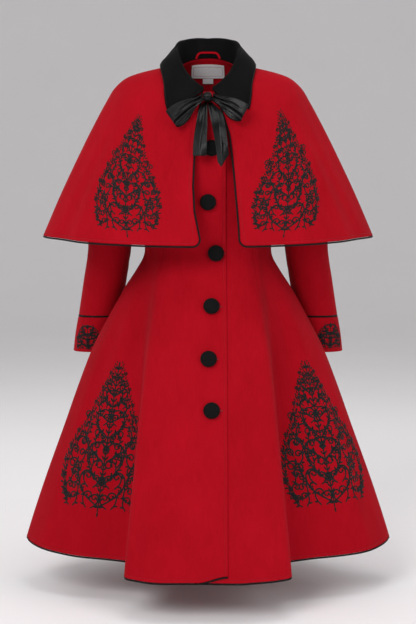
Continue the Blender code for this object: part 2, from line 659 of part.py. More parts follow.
def makeBow():
    coatRows, capeRows = np.linspace(18, neckRow, 161), np.linspace(0, 7, 141)
    # the knot rests on the coat behind it and stands as far out as the loops on the cape
    knotZ = bowKnot["z"]
    coatDepth = frontDepth(bodyPoint, coatRows, 0.0, knotZ - 0.4 * bowKnot["halfZ"]) - 0.5 * mm
    capeDepth = frontDepth(capePoint, capeRows, 0.0, knotZ - 0.85 * bowKnot["halfZ"])
    centre = np.array((bowKnot["x"], min(coatDepth, capeDepth) - bowKnot["halfY"], knotZ))
    knotHalf = (coatDepth - centre[1] + bowKnot["halfY"]) / 2
    turns, lifts = np.meshgrid(np.linspace(0, 360, 13)[:-1], np.linspace(-78, 78, 7))
    round_ = lambda c: np.sign(c) * np.abs(c) ** 0.8
    cosLift = round_(np.cos(np.radians(lifts)))
    size = (bowKnot["halfX"], knotHalf, bowKnot["halfZ"])
    points = centre + (0, knotHalf - bowKnot["halfY"], 0) + np.stack([
        size[0] * cosLift * round_(np.cos(np.radians(turns))),
        size[1] * cosLift * round_(np.sin(np.radians(turns))),
        size[2] * round_(np.sin(np.radians(lifts)))], axis=-1)
    count = turns.shape[1]
    faces = []
    for r in range(len(points) - 1):
        for c in range(count):
            a, b = r * count + c, r * count + (c + 1) % count
            faces.append((a, b, b + count, a + count))
    total = points.shape[0] * count
    faces.append(tuple(range(count))[::-1])
    faces.append(tuple(range(total - count, total)))
    makeObject("bow_knot", points.reshape(-1, 3), faces, "satin")

    for loop in bowLoops:
        side = np.sign(loop["endX"])
        start = centre + np.array((side * (bowKnot["halfX"] + loop["start"] * mm), 0, 0))
        end = np.array((loop["endX"], centre[1], loop["endZ"]))
        for share in (0.45, 0.6, 0.8, 1.0):
            at = start * (1 - share) + end * share
            for drop in (-0.5, 0.0, 0.5):
                rest = frontDepth(capePoint, capeRows, at[0], at[2] + drop * loop["width"])
                rest -= loopSwell + 1.5 * mm
                end[1] = min(end[1], (rest - start[1] * (1 - share)) / share)
        along = end - start
        across = np.array((np.sin(np.radians(loop["turn"])), 0, np.cos(np.radians(loop["turn"]))))
        across -= along * (across @ along) / (along @ along)
        across /= np.linalg.norm(across)
        forward = np.cross(along / np.linalg.norm(along), across)
        forward *= -np.sign(forward[1])
        # round the fold: out along the front, round the end, back along the back
        turn = np.linspace(-168, 168, 19)
        reach = 0.5 - 0.5 * np.cos(np.radians(180 - np.abs(turn)))
        bulge = np.sin(np.radians(np.abs(turn)))
        bulge = np.where(np.abs(turn) > 90, 0.4 + 0.6 * bulge, bulge)
        swell = -loopSwell * np.sign(turn) * bulge
        widths = np.linspace(-0.5, 0.5, 5)
        halfBand = 0.010 + (loop["width"] - 0.010) * smoothStep(0.0, 0.95, reach)
        band = (start + along * reach[:, None, None] + forward * swell[:, None, None]
                + across * (halfBand[:, None] * widths[None, :])[..., None])
        n = np.cross(np.gradient(band, axis=0), np.gradient(band, axis=1))
        n /= np.linalg.norm(n, axis=-1, keepdims=True)
        middle = start + along * 0.5
        n *= np.sign(np.sum(n[4, 2] * (band[4, 2] - middle)))
        wallObject(loop["name"], band, band - n * ribbonWall, "satin")

    for name, table in bowTails.items():
        rows = np.linspace(0, len(table) - 1, 9)
        z, x, half, ahead = np.moveaxis(smoothTable(np.arange(len(table), dtype=float), table, rows), -1, 0)
        y = centre[1] + ahead
        across = np.linspace(-1, 1, 4)
        drop = np.zeros((len(rows), 4))
        if name == "bow_tail_left":
            drop = -tailSlant * smoothStep(0.4, 1, rows / rows[-1])[:, None] * (1 - np.abs(across + 0.4) * 0.7)
            drop = drop + 0.4 * tailSlant * smoothStep(0.4, 1, rows / rows[-1])[:, None]
        grid = np.stack([x[:, None] + half[:, None] * across,
                         np.repeat(y[:, None], 4, 1) + 1.5 * mm * np.cos(across * 2),
                         z[:, None] + drop], axis=-1)
        n = np.cross(np.gradient(grid, axis=0), np.gradient(grid, axis=1))
        n /= np.linalg.norm(n, axis=-1, keepdims=True)
        n *= -np.sign(n[..., 1:2])
        wallObject(name, grid, grid - n * ribbonWall, "satin")


def makeNeckTrim():
    """Hanger loop on the stand, label and size tag on the inside of the back."""
    shares = np.linspace(-1, 1, 13)
    path = np.stack([26 * mm * np.sign(shares) * np.abs(shares) ** 0.6,
                     0 * shares, 0.0375 - 0.017 * np.abs(shares) ** 3.5], axis=-1)
    angle = 180 - np.degrees(np.arcsin(np.clip(path[:, 0] / 0.066, -1, 1)))
    neck = bodyPoint(angle, np.full_like(angle, float(neckRow)))
    out = neck * (1, 1, 0) / np.linalg.norm(neck[:, :2], axis=1)[:, None]
    path = neck * (1, 1, 0) - out * (clothWall + 2.7 * mm) + path * (0, 0, 1)
    along = np.gradient(path, axis=0)
    along /= np.linalg.norm(along, axis=1, keepdims=True)
    across = np.cross(along, out)
    across /= np.linalg.norm(across, axis=1, keepdims=True)
    band = np.stack([path - across * 3.4 * mm, path + across * 3.4 * mm], axis=1)
    wallObject("hanger_loop", band, band + out[:, None] * 1.5 * mm, "wool")

    patches = (("neck_label", 37.0, 20.78, 21.68, 1.0), ("size_tag", 11.5, 20.40, 20.74, 1.0))
    for name, halfWidth, lowRow, highRow, thick in patches:
        rows = np.linspace(lowRow, highRow, 4)
        spread = np.array([angleForArc(r, halfWidth * mm) for r in rows])
        grid = 180 + spread[:, None] * np.linspace(-1, 1, 7)
        rowGrid = np.repeat(rows[:, None], 7, 1)
        n = surfaceNormal(bodyPoint, grid, rowGrid)
        outer = bodyPoint(grid, rowGrid) - n * (clothWall + 1.4 * mm)
        wallObject(name, outer, outer - n * thick * mm, "label")


for old in list(bpy.data.objects):
    bpy.data.objects.remove(old, do_unlink=True)
makeCoatBody()
makeSleeves()
makeCape()
makeCollar()
makeButtons()
makeBow()
makeNeckTrim()
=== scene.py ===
# Swing coat with a shoulder cape: cloth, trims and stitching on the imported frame.
# Metres, +Z up, the front faces -Y and the wearer's left side is at +X.
import bpy
import mathutils
import numpy as np
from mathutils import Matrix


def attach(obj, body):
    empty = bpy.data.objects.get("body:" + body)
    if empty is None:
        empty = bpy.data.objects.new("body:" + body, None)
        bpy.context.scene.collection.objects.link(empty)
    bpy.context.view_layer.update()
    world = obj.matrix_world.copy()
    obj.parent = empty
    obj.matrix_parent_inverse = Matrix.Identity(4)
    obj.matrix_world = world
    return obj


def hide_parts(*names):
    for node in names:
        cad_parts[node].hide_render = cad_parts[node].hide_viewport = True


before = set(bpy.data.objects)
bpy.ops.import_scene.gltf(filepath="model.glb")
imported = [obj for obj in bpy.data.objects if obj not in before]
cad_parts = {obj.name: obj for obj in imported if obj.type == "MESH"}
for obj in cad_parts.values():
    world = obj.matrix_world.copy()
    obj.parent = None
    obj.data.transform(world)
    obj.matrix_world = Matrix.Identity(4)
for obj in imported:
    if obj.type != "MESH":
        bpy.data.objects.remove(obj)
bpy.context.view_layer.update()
print("frame loaded:", len(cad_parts), "nodes")

# Walls, gaps and widths that several pieces share.
mm = 0.001
clothWall = 2.4 * mm
collarWall = 2.8 * mm
ribbonWall = 0.8 * mm
seamGap = 0.3 * mm
underLap = 3.0 * mm
pipingWidth = 3.6 * mm
buttonWidth = 34 * mm
ringCorner = 0.9      # below 1 squares the rings a little
ringDip = 1.8         # how fast a ring's height turns from side to front
hemDip = 0.5          # the same at the hem, where only the sides are higher
stitchRow = 6.0 * mm    # a row of stitches stands this far inside an edge
stitchPitch = 3.4 * mm
cordSides = 12
cordRound = 11 * mm     # way round a cord on its own map

# Rings of the body from the hem up: share of the hem outline, half width,
# front and back depth, then the ring's height at front, side and back.
bodyRings = np.array([
    # share, width, front, back, zFront, zSide, zBack
    (1.0, 0.134, -0.118, 0.086, -1.041, -1.016, -1.03),
    (0.921, 0.134, -0.118, 0.086, -0.972, -0.951, -0.962),
    (0.815, 0.134, -0.118, 0.086, -0.888, -0.87, -0.879),
    (0.676, 0.134, -0.118, 0.086, -0.784, -0.77, -0.777),
    (0.553, 0.134, -0.118, 0.086, -0.691, -0.68, -0.685),
    (0.44, 0.134, -0.118, 0.086, -0.613, -0.604, -0.608),
    (0.328, 0.134, -0.118, 0.086, -0.553, -0.546, -0.549),
    (0.244, 0.134, -0.118, 0.086, -0.51, -0.505, -0.507),
    (0.165, 0.134, -0.118, 0.086, -0.472, -0.469, -0.47),
    (0.075, 0.134, -0.118, 0.086, -0.433, -0.432, -0.432),
    (0.012, 0.134, -0.118, 0.086, -0.402, -0.402, -0.402),
    (0, 0.135, -0.119, 0.088, -0.378, -0.378, -0.378), (0, 0.141, -0.124, 0.094, -0.335, -0.335, -0.335),
    (0, 0.15, -0.132, 0.103, -0.275, -0.275, -0.275), (0, 0.157, -0.138, 0.112, -0.222, -0.225, -0.222),
    (0, 0.161, -0.138, 0.116, -0.19, -0.185, -0.18), (0, 0.169, -0.134, 0.116, -0.163, -0.14, -0.145),
    (0, 0.175, -0.13, 0.114, -0.143, -0.098, -0.115), (0, 0.177, -0.126, 0.11, -0.128, -0.062, -0.088),
    (0, 0.17, -0.121, 0.105, -0.114, -0.036, -0.066), (0, 0.145, -0.113, 0.096, -0.098, -0.022, -0.04),
    (0, 0.105, -0.102, 0.082, -0.08, -0.011, -0.01), (0, 0.066, -0.089, 0.062, -0.06, -0.002, 0.022)])
neckRow = 22

# Outline of the hem seen from above, one half: crest of the front panel at
# 42 degrees, its deep valley at 56, the side crest at 91, soft folds behind.
hemOutline = np.array([
    # angle, x, y
    (0.0, 0, -0.302), (18, 0.079, -0.299), (33, 0.142, -0.287), (42, 0.168, -0.266), (47, 0.166, -0.234),
    (51, 0.159, -0.2), (56, 0.163, -0.165), (63, 0.203, -0.144), (72, 0.279, -0.12), (82, 0.355, -0.077),
    (91, 0.396, -0.01), (99, 0.386, 0.04), (108, 0.329, 0.078), (118, 0.268, 0.118), (128, 0.248, 0.175),
    (137, 0.215, 0.222), (147, 0.155, 0.216), (158, 0.112, 0.262), (169, 0.055, 0.274), (180, 0, 0.256)])

# Smaller waves that keep the two sides from being alike: place, spread and
# depth at the hem.
skirtWaves = np.array([
    # angle, spread, depth
    (14.0, 9, 0.006), (-22, 8, 0.007), (-70, 7, 0.01), (76, 6, 0.008), (-116, 8, -0.012), (124, 7, 0.01),
    (-150, 7, 0.014), (176, 8, -0.01)])

# Rings of the cape from the neck down, in the same columns.
capeRings = np.array([
    # share, width, front, back, zFront, zSide, zBack
    (0.0, 0.0702, -0.095, 0.0665, -0.0595, 0.0015, 0.0235),
    (0, 0.1085, -0.1095, 0.0875, -0.08, -0.006, -0.005),
    (0, 0.1485, -0.1225, 0.1025, -0.1, -0.016, -0.036),
    (0, 0.1765, -0.131, 0.113, -0.122, -0.0275, -0.066), (0, 0.199, -0.14, 0.122, -0.145, -0.048, -0.092),
    (0, 0.214, -0.147, 0.128, -0.17, -0.072, -0.118), (0, 0.233, -0.153, 0.134, -0.2, -0.106, -0.152),
    (0, 0.263, -0.162, 0.142, -0.242, -0.164, -0.204), (0, 0.312, -0.177, 0.156, -0.305, -0.266, -0.286),
    (0, 0.354, -0.193, 0.17, -0.38, -0.362, -0.366)])
capeWaves = np.array([
    # angle, spread, depth
    (33.0, 12, 0.007), (-36, 12, 0.007), (63, 9, -0.008), (-60, 9, -0.009), (118, 11, 0.01),
    (-126, 12, 0.01), (150, 10, -0.008), (-160, 10, 0.006), (178, 9, 0.008)])

# Front edges of the cape: height, then where each edge stands.
capeEdge = np.array([
    # height, -X edge, +X edge
    (-0.38, -0.015, 0.063), (-0.361, -0.019, 0.062), (-0.32, -0.0265, 0.059), (-0.262, -0.029, 0.054),
    (-0.198, -0.0258, 0.0475), (-0.156, -0.0225, 0.0422), (-0.1, -0.016, 0.026), (-0.0595, -0.01, 0.012)])
capeCorner = 13 * mm

# Front edges of the coat itself: row, the over front's edge, the under one's.
coatEdge = np.array([
    # row, over, under
    (0.0, 0.04, -0.028), (11, 0.038, -0.028), (19, 0.037, -0.026), (20, 0.032, -0.022),
    (21, 0.021, -0.014), (22, 0.008, -0.004)])
overRise = 14 * mm

# Seams of the princess cut: row, front seam, side seam, back seam.
seamAngles = np.array([
    # row, front, side, back
    (0.0, 49, 91, 137), (6, 47, 91, 138), (11, 41, 90, 142), (15, 35, 90, 147), (22, 34, 90, 147)])
# The armhole: an ellipse about a row of the body, half as high and as wide as these.
armholeHalfAngle = 36.0
armholeMiddle, armholeHalf = 17.0, 2.0

# A two-piece sleeve: the under sleeve runs from the front seam to the back seam,
# in degrees round the sleeve from its outer side, through the front at 90.
sleeveSeams = (150.0, 275.0)

# Rings of a sleeve: outer and inner point, middle and half depth in Y.
sleeveRings = np.array([
    # outX, outZ, inX, inZ, midY, halfY
    (0.197, -0.056, 0.166, -0.197, -0.003, 0.066), (0.21, -0.085, 0.1665, -0.213, -0.002, 0.063),
    (0.223, -0.12, 0.167, -0.233, 0, 0.06), (0.242, -0.18, 0.166, -0.262, 0.004, 0.057),
    (0.257, -0.245, 0.165, -0.296, 0.011, 0.054), (0.262, -0.315, 0.1645, -0.337, 0.021, 0.051),
    (0.26, -0.385, 0.167, -0.388, 0.034, 0.048), (0.2725, -0.46, 0.179, -0.46, 0.056, 0.047),
    (0.286, -0.536, 0.192, -0.536, 0.08, 0.047)])
cuffRings = np.array([
    # outX, outZ, inX, inZ, midY, halfY
    (0.2872, -0.5404, 0.1916, -0.5404, 0.0812, 0.0478), (0.294, -0.579, 0.198, -0.579, 0.0905, 0.048),
    (0.3, -0.618, 0.204, -0.618, 0.1, 0.048)])

# Collar: angle at the neck, height of its stand over the neck seam, the place
# of its outer edge on the cape as angle and row, radius of the roll.
collarCut = np.array([
    # angle, stand, edgeAngle, edgeRow, roll
    (6.0, 0.008, 27, 2.8, 0.0066), (14, 0.0118, 33, 2.15, 0.0063), (24, 0.016, 41, 1.6, 0.0058),
    (45, 0.022, 57, 1.08, 0.005), (60, 0.028, 67.5, 0.94, 0.0048), (75, 0.0335, 78.5, 0.84, 0.0046),
    (90, 0.0385, 90, 0.8, 0.0046), (118, 0.051, 118, 0.84, 0.0046), (135, 0.049, 135, 0.88, 0.0046),
    (180, 0.0425, 180, 0.92, 0.0046)])
fallBulge = 0.55         # below 1 rounds the fall outwards
footLift = 0.9 * mm      # clears the neck edge between its corners
collarLift = 5.0 * mm

buttonPlaces = np.array([
    # x, z
    (0.0072, -0.179), (0, -0.288), (0.0159, -0.394), (0.0071, -0.501), (0.0012, -0.605), (0.0075, -0.706)])

# Bow loops: place of the end, width there, tilt of the ribbon and where it leaves the knot in mm.
loopSwell = 8.0 * mm
bowKnot = dict(x=-0.001, z=-0.0735, halfX=0.0095, halfY=0.0065, halfZ=0.0100)
bowLoops = [
    dict(name="bow_loop_right", endX=-0.0745, endZ=-0.1205, width=0.037, turn=-28.0, start=0.8),
    dict(name="bow_loop_left", endX=0.0750, endZ=-0.1090, width=0.033, turn=36.0, start=-0.3)]
# Tails: height, middle and half width of the ribbon, depth ahead of the knot.
bowTails = {
    "bow_tail_right": np.array([
        (-0.0838, -0.0056, 0.0036, 0.0025), (-0.105, -0.0105, 0.0088, -0.016),
        (-0.135, -0.0135, 0.012, -0.036), (-0.168, -0.016, 0.0135, -0.046),
        (-0.195, -0.0168, 0.014, -0.048)]),
    "bow_tail_left": np.array([
        (-0.0838, 0.0038, 0.0034, 0.0025), (-0.105, 0.015, 0.0125, -0.018),
        (-0.135, 0.0215, 0.0135, -0.039), (-0.17, 0.0275, 0.012, -0.049), (-0.202, 0.031, 0.0115, -0.051)])}
tailSlant = 26 * mm


# Hermite curve from a to b at a share s of the way, with slopes ma and mb.
def hermite(s, a, b, ma, mb):
    return ((2 * s**3 - 3 * s**2 + 1) * a + (s**3 - 2 * s**2 + s) * ma
            + (3 * s**2 - 2 * s**3) * b + (s**3 - s**2) * mb)


# Hermite curve through table rows, slopes from neighbouring rows.
def smoothTable(knots, values, at):
    slopes = np.gradient(values, knots, axis=0)
    row = np.clip(np.searchsorted(knots, at, side="right") - 1, 0, len(knots) - 2)
    span = (knots[row + 1] - knots[row])[..., None]
    s = ((at - knots[row])[..., None]) / span
    return hermite(s, values[row], values[row + 1], slopes[row] * span, slopes[row + 1] * span)


# 0 below low, 1 above high, eased between.
def smoothStep(low, high, at):
    s = np.clip((at - low) / (high - low), 0, 1)
    return s * s * (3 - 2 * s)


def unit(vectors):
    return vectors / np.maximum(np.linalg.norm(vectors, axis=-1, keepdims=True), 1e-12)


# Lengths along the columns (axis 1) or the rows (axis 0) of a grid, from its first line.
def lengthsAlong(grid, axis):
    steps = np.linalg.norm(np.diff(grid, axis=axis), axis=-1)
    zero = np.zeros_like(np.take(steps, [0], axis=axis))
    return np.concatenate([zero, np.cumsum(steps, axis=axis)], axis=axis)


# Point of the hem outline, mirrored for the -X half.
def hemPoint(angle):
    half = np.abs((angle + 180) % 360 - 180)
    table = hemOutline
    before, after = table[1:3][::-1] * (-1, -1, 1), table[-3:-1][::-1] * (-1, -1, 1)
    after[:, 0] += 360
    full = np.vstack([before, table, after])
    xy = smoothTable(full[:, 0], full[:, 1:], half)
    side = np.where((angle + 180) % 360 < 180, -1.0, 1.0)
    return xy[..., 0] * side, xy[..., 1]


# Sum of soft ridges, each depth * exp(-((angle - place) / spread)^2).
def waveDepth(waves, angle):
    total = np.zeros_like(angle)
    for place, spread, depth in waves:
        away = (angle - place + 180) % 360 - 180
        total = total + depth * np.exp(-(away / spread) ** 2)
    return total


# Point at an angle and a (fractional) row of a ring table.
def ringPoint(rings, waves, fade, angle, row):
    angle, row = np.broadcast_arrays(np.asarray(angle, float), np.asarray(row, float))
    ring = smoothTable(np.arange(len(rings), dtype=float), rings, row)
    share, width, front, back, zFront, zSide, zBack = np.moveaxis(ring, -1, 0)
    turn = np.radians(angle)
    sin, cos = np.sin(turn), np.cos(turn)
    corner = lambda c: np.sign(c) * np.abs(c) ** ringCorner
    x = width * corner(sin)
    y = np.where(cos > 0, front, -back) * corner(cos)
    dip = np.abs(cos) ** (ringDip * (1 - share) + hemDip * share)
    z = zSide + (np.where(cos > 0, zFront, zBack) - zSide) * dip
    hemX, hemY = hemPoint(angle)
    wave = waveDepth(waves, angle) * fade(row)
    x = x * (1 - share) + hemX * share + wave * sin
    y = y * (1 - share) + hemY * share - wave * cos
    return np.stack([x, y, z], axis=-1)


def bodyPoint(angle, row):
    return ringPoint(bodyRings, skirtWaves, lambda r: smoothStep(9, 0, r) ** 1.3, angle, row)


def capePoint(angle, row):
    return ringPoint(capeRings, capeWaves, lambda r: smoothStep(3.5, 9, r), angle, row)


# Unit normal from central differences of a surface function.
def surfaceNormal(surface, u, v, flip=1.0):
    du = surface(u + 0.05, v) - surface(u - 0.05, v)
    dv = surface(u, v + 0.01) - surface(u, v - 0.01)
    return unit(np.cross(du, dv) * flip)


# Degrees that cover a length on a ring.
def angleForLength(surface, angle, row, length):
    step = surface(angle + 0.1, row) - surface(angle - 0.1, row)
    return length * 0.2 / np.linalg.norm(step, axis=-1)


# Rows that cover a length down a panel.
def rowsForLength(surface, angle, row, length):
    step = surface(angle, row + 0.02) - surface(angle, row - 0.02)
    return length * 0.04 / np.linalg.norm(step, axis=-1)


# Degrees from the centre back that cover a length along the neck.
def angleForArc(row, length):
    angles = np.linspace(180, 250, 141)
    reach = lengthsAlong(bodyPoint(angles, np.full_like(angles, row)), 0)
    return np.interp(length, reach, angles - 180)


# Angle near the front where a ring reaches x.
def angleAtX(surface, row, x):
    angles = np.linspace(-60, 60, 241)
    return np.array([np.interp(wanted, surface(angles, np.full_like(angles, r))[:, 0], angles)
                     for r, wanted in zip(row, x)])


# Depth of a surface of the chest at a place seen from the front.
def frontDepth(surface, rows, x, z):
    angles, rowGrid = np.meshgrid(np.linspace(-60, 60, 241), rows)
    points = surface(angles, rowGrid)
    away = np.hypot(points[..., 0] - x, points[..., 2] - z)
    return points[..., 1].ravel()[away.argmin()]


def seamAt(rows, column):
    return np.interp(rows, seamAngles[:, 0], seamAngles[:, column])


# Half angle of the armhole at a row: an ellipse from underarm to shoulder.
def armholeAngle(rows):
    return armholeHalfAngle * np.sqrt(np.clip(1 - ((rows - armholeMiddle) / armholeHalf) ** 2, 0, 1))


# Sleeve point: middle + cos(turn) * half chord + sin(turn) * half depth forwards.
def tubePoint(rings, side, turn, row):
    table = smoothTable(np.arange(len(rings), dtype=float), rings, row)
    outX, outZ, inX, inZ, midY, halfY = np.moveaxis(table, -1, 0)
    cos, sin = np.cos(np.radians(turn)), np.sin(np.radians(turn))
    x = (outX + inX) / 2 + cos * (outX - inX) / 2
    z = (outZ + inZ) / 2 + cos * (outZ - inZ) / 2
    return np.stack([side * x, midY - sin * halfY, z], axis=-1)


# Row 0 is the armhole itself, rows 1 and on are the sleeve's rings.
def sleevePoint(side, turn, row):
    inset = 0.985
    armhole = bodyPoint(side * (90 - armholeHalfAngle * inset * np.sin(np.radians(turn))),
                        armholeMiddle + armholeHalf * inset * np.cos(np.radians(turn)))
    count = len(sleeveRings)
    rings = np.stack([armhole] + [tubePoint(sleeveRings, side, turn, np.full_like(turn, float(k)))
                                  for k in range(count)])
    slopes = np.gradient(rings, axis=0)
    low = np.clip(np.floor(row).astype(int), 0, count - 1)
    pick = lambda table, index: np.take_along_axis(table, index[None, ..., None], 0)[0]
    return hermite((row - low)[..., None], pick(rings, low), pick(rings, low + 1),
                   pick(slopes, low), pick(slopes, low + 1))


# Collar section at an angle, 0 to 1 the stand, 1 to 2 the roll, 2 to 3 the fall.
def collarPoint(angle, step):
    turned = np.where(angle > 180, 360 - angle, angle)
    side = np.where(angle > 180, -1.0, 1.0)
    stand, edgeAngle, edgeRow, roll = np.moveaxis(smoothTable(collarCut[:, 0], collarCut[:, 1:], turned), -1, 0)
    turnSide = side * turned
    neck = bodyPoint(turnSide, np.full_like(turnSide, float(neckRow)))
    ahead = bodyPoint(turnSide + 1, np.full_like(turnSide, float(neckRow)))
    up = np.array((0, 0, 1.0))
    out = unit(np.cross(ahead - neck, up))
    foot = neck - out * clothWall + up * footLift
    roll = roll[..., None]
    rollFoot = foot + up * (stand[..., None] - roll)
    standPart = foot + (rollFoot - foot) * np.clip(step, 0, 1)[..., None]
    bend = np.pi * (1 - np.clip(step - 1, 0, 1))[..., None]
    rollPart = rollFoot + out * roll + roll * (out * np.cos(bend) + up * np.sin(bend))
    share = np.clip(step - 2, 0, 1)
    fallAngle = turnSide + side * (edgeAngle - turned) * share
    fallRow = edgeRow * share
    onCape = capePoint(fallAngle, fallRow)
    n = surfaceNormal(capePoint, fallAngle, np.maximum(fallRow, 0.02), -1)
    rollEnd = rollFoot + out * 2 * roll
    zero = np.zeros_like(turnSide)
    atNeck = capePoint(turnSide, zero) + surfaceNormal(capePoint, turnSide, zero + 0.02, -1) * collarLift
    fallPart = onCape + n * collarLift + (rollEnd - atNeck) * ((1 - share) ** fallBulge)[..., None]
    step = step[..., None]
    return np.where(step <= 1, standPart, np.where(step <= 2, rollPart, fallPart))

# Mesh helpers: every piece is a grid of points worked out as whole arrays.


# Quads of a grid of points; ring joins the last column to the first.
def gridQuads(rows, columns, ring=False, offset=0, flip=False):
    across = columns if ring else columns - 1
    r, c = np.meshgrid(np.arange(rows - 1), np.arange(across), indexing="ij")
    a, b = r * columns + c, r * columns + (c + 1) % columns
    quads = np.stack([a, b, b + columns, a + columns], -1).reshape(-1, 4) + offset
    return quads[:, ::-1] if flip else quads


# Six times the signed volume of a closed mesh, positive when its faces point outwards.
def signedVolume(points, faces):
    a, b, c = (points[faces[:, k]] for k in (0, 1, 2))
    d = points[faces[:, -1]]
    return (np.einsum("ij,ij->i", a, np.cross(b, c)) + np.einsum("ij,ij->i", a, np.cross(c, d))).sum()


# A mesh from points, arrays of faces and a map, riding on the body and standing for CAD nodes.
def meshPiece(name, points, faceSets, material, replaced=(), uv=None, sharp=50):
    points = np.asarray(points, float).reshape(-1, 3)
    faces = [face for group in faceSets for face in group.tolist()]
    mesh = bpy.data.meshes.new(name)
    mesh.from_pydata(points.tolist(), [], faces)
    if uv is not None:
        corners = np.empty(len(mesh.loops), int)
        mesh.loops.foreach_get("vertex_index", corners)
        layer = mesh.uv_layers.new(name="cloth")
        layer.data.foreach_set("uv", np.asarray(uv, float).reshape(-1, 2)[corners].ravel())
    mesh.shade_smooth()
    mesh.set_sharp_from_angle(angle=np.radians(sharp))
    mesh.materials.append(material)
    piece = bpy.data.objects.new(name, mesh)
    bpy.context.collection.objects.link(piece)
    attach(piece, "root")
    if replaced:
        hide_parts(*replaced)
    return piece


# Closed wall between an outer and an inner grid, with the rims between them.
def wallFaces(rows, columns, ring=False):
    other = rows * columns
    groups = [gridQuads(rows, columns, ring), gridQuads(rows, columns, ring, other, True)]
    c = np.arange(columns if ring else columns - 1)
    for r, flip in ((0, False), (rows - 1, True)):
        a, b = r * columns + c, r * columns + (c + 1) % columns
        quad = np.stack([a, a + other, b + other, b], -1)
        groups.append(quad[:, ::-1] if flip else quad)
    if not ring:
        r = np.arange(rows - 1)
        for c, flip in ((0, False), (columns - 1, True)):
            a, d = r * columns + c, (r + 1) * columns + c
            quad = np.stack([a, d, d + other, a + other], -1)
            groups.append(quad[:, ::-1] if flip else quad)
    return np.vstack(groups)


# A wall as one piece, its faces turned outwards.
def wallPiece(name, outer, inner, material, replaced=(), ring=False, uv=None):
    rows, columns = outer.shape[:2]
    points = np.vstack([outer.reshape(-1, 3), inner.reshape(-1, 3)])
    faces = wallFaces(rows, columns, ring)
    if signedVolume(points, faces) < 0:
        faces = faces[:, ::-1]
    if uv is not None:
        uv = np.vstack([uv.reshape(-1, 2)] * 2)
    return meshPiece(name, points, [faces], material, replaced, uv)


# Height of a piece of cloth over its own surface near a sewn edge, at a distance from it:
# the edge rounds off, and a row of stitches pulls a shallow groove beside a soft bead.
def edgeHeight(kind, away, wall):
    rounded = np.clip(1 - away / (1.4 * mm), 0, 1) ** 2
    if kind == "seam":
        return -0.12 * wall * rounded - 0.22 * mm * np.exp(-(away / (2.2 * mm)) ** 2)
    if kind == "stitched":
        groove = np.exp(-((away - stitchRow) / (1.3 * mm)) ** 2)
        bead = np.exp(-((away - 2.8 * mm) / (1.8 * mm)) ** 2)
        return -0.40 * wall * rounded - 0.55 * mm * groove + 0.22 * mm * bead
    return -0.40 * wall * rounded


# Soft creases: each is a trough between two places, with a low ridge on both
# sides, depth * (exp(-q^2) - 0.4 * exp(-((q - 1.8) / 0.8)^2)), q the distance over its width.
def creaseHeight(points, starts, ends, widths, depths):
    height = np.zeros(points.shape[:-1])
    for start, end, width, depth in zip(starts, ends, widths, depths):
        run = end - start
        share = np.clip(((points - start) @ run) / (run @ run), 0, 1)
        away = np.linalg.norm(points - start - share[..., None] * run, axis=-1)
        q = away / width
        fade = 0.35 + 0.65 * np.sin(np.pi * np.clip(share, 0.02, 0.98)) ** 0.8
        height += depth * fade * (np.exp(-q**2) - 0.4 * np.exp(-((q - 1.8) / 0.8) ** 2))
    return height


# Creases of a table whose ends are given as angle and row of a surface.
def creasesOn(surface, table, points):
    starts, ends = surface(table[:, 0], table[:, 1]), surface(table[:, 2], table[:, 3])
    return creaseHeight(points, starts, ends, table[:, 4] * mm, table[:, 5] * mm)


# Outer and inner side of a piece of cloth from its surface grid, normals and edge kinds.
def clothSides(grid, normals, wall, edges, extra=0.0, ring=False):
    height, under = np.zeros(grid.shape[:2]) + extra, np.zeros(grid.shape[:2]) + extra - wall
    for axis, first, last in ((1, "start", "end"), (0, "low", "high")):
        if ring and axis == 1:
            continue
        along = lengthsAlong(grid, axis)
        total = np.take(along, [-1], axis=axis)
        for name, away in ((first, along), (last, total - along)):
            kind = edges.get(name, "plain")
            height = height + edgeHeight(kind, away, wall)
            under = under + 0.25 * wall * np.clip(1 - away / (1.2 * mm), 0, 1) ** 2
    return grid + normals * height[..., None], grid + normals * under[..., None]


# Map of a piece of cloth: lengths along its own rows and columns.
def clothMap(grid):
    return np.stack([lengthsAlong(grid, 1), lengthsAlong(grid, 0)], -1)


# Measures the size a piece of cloth is cut to: its widest and longest run on the grid before
# any creases. Neither is kept or returned.
def cutSheet(grid, ring=False):
    if ring:
        grid = np.concatenate([grid, grid[:, :1]], axis=1)
    width, length = lengthsAlong(grid, 1)[:, -1].max(), lengthsAlong(grid, 0)[-1].max()
    width, length = float(round(width, 4)), float(round(length, 4))


# Quads and end faces of tubes, given as rings of points: tubes, rings along each, sides.
def tubeFaces(rings):
    count, rows, sides = rings.shape[:3]
    quads = gridQuads(rows, sides, ring=True)
    ends = np.array([np.arange(sides)[::-1], np.arange(sides) + (rows - 1) * sides])
    if signedVolume(rings[0].reshape(-1, 3) - rings[0].mean((0, 1)), quads) < 0:
        quads, ends = quads[:, ::-1], ends[:, ::-1]
    step = (np.arange(count) * rows * sides)[:, None, None]
    return [(quads[None] + step).reshape(-1, 4), (ends[None] + step).reshape(-1, sides)]


# Rings of a flattened section round paths that lie on a surface,
# across * half width * cos + up * half height * sin.
def tubeRings(paths, normals, half, high, sides):
    turns = np.linspace(0, 2 * np.pi, sides, endpoint=False)
    along = unit(np.gradient(paths, axis=1))
    across = unit(np.cross(along, normals))
    up = np.cross(across, along)
    return (paths[:, :, None] + across[:, :, None] * (np.asarray(half)[..., None] * np.cos(turns))[..., None]
            + up[:, :, None] * (high * np.sin(turns))[..., None])


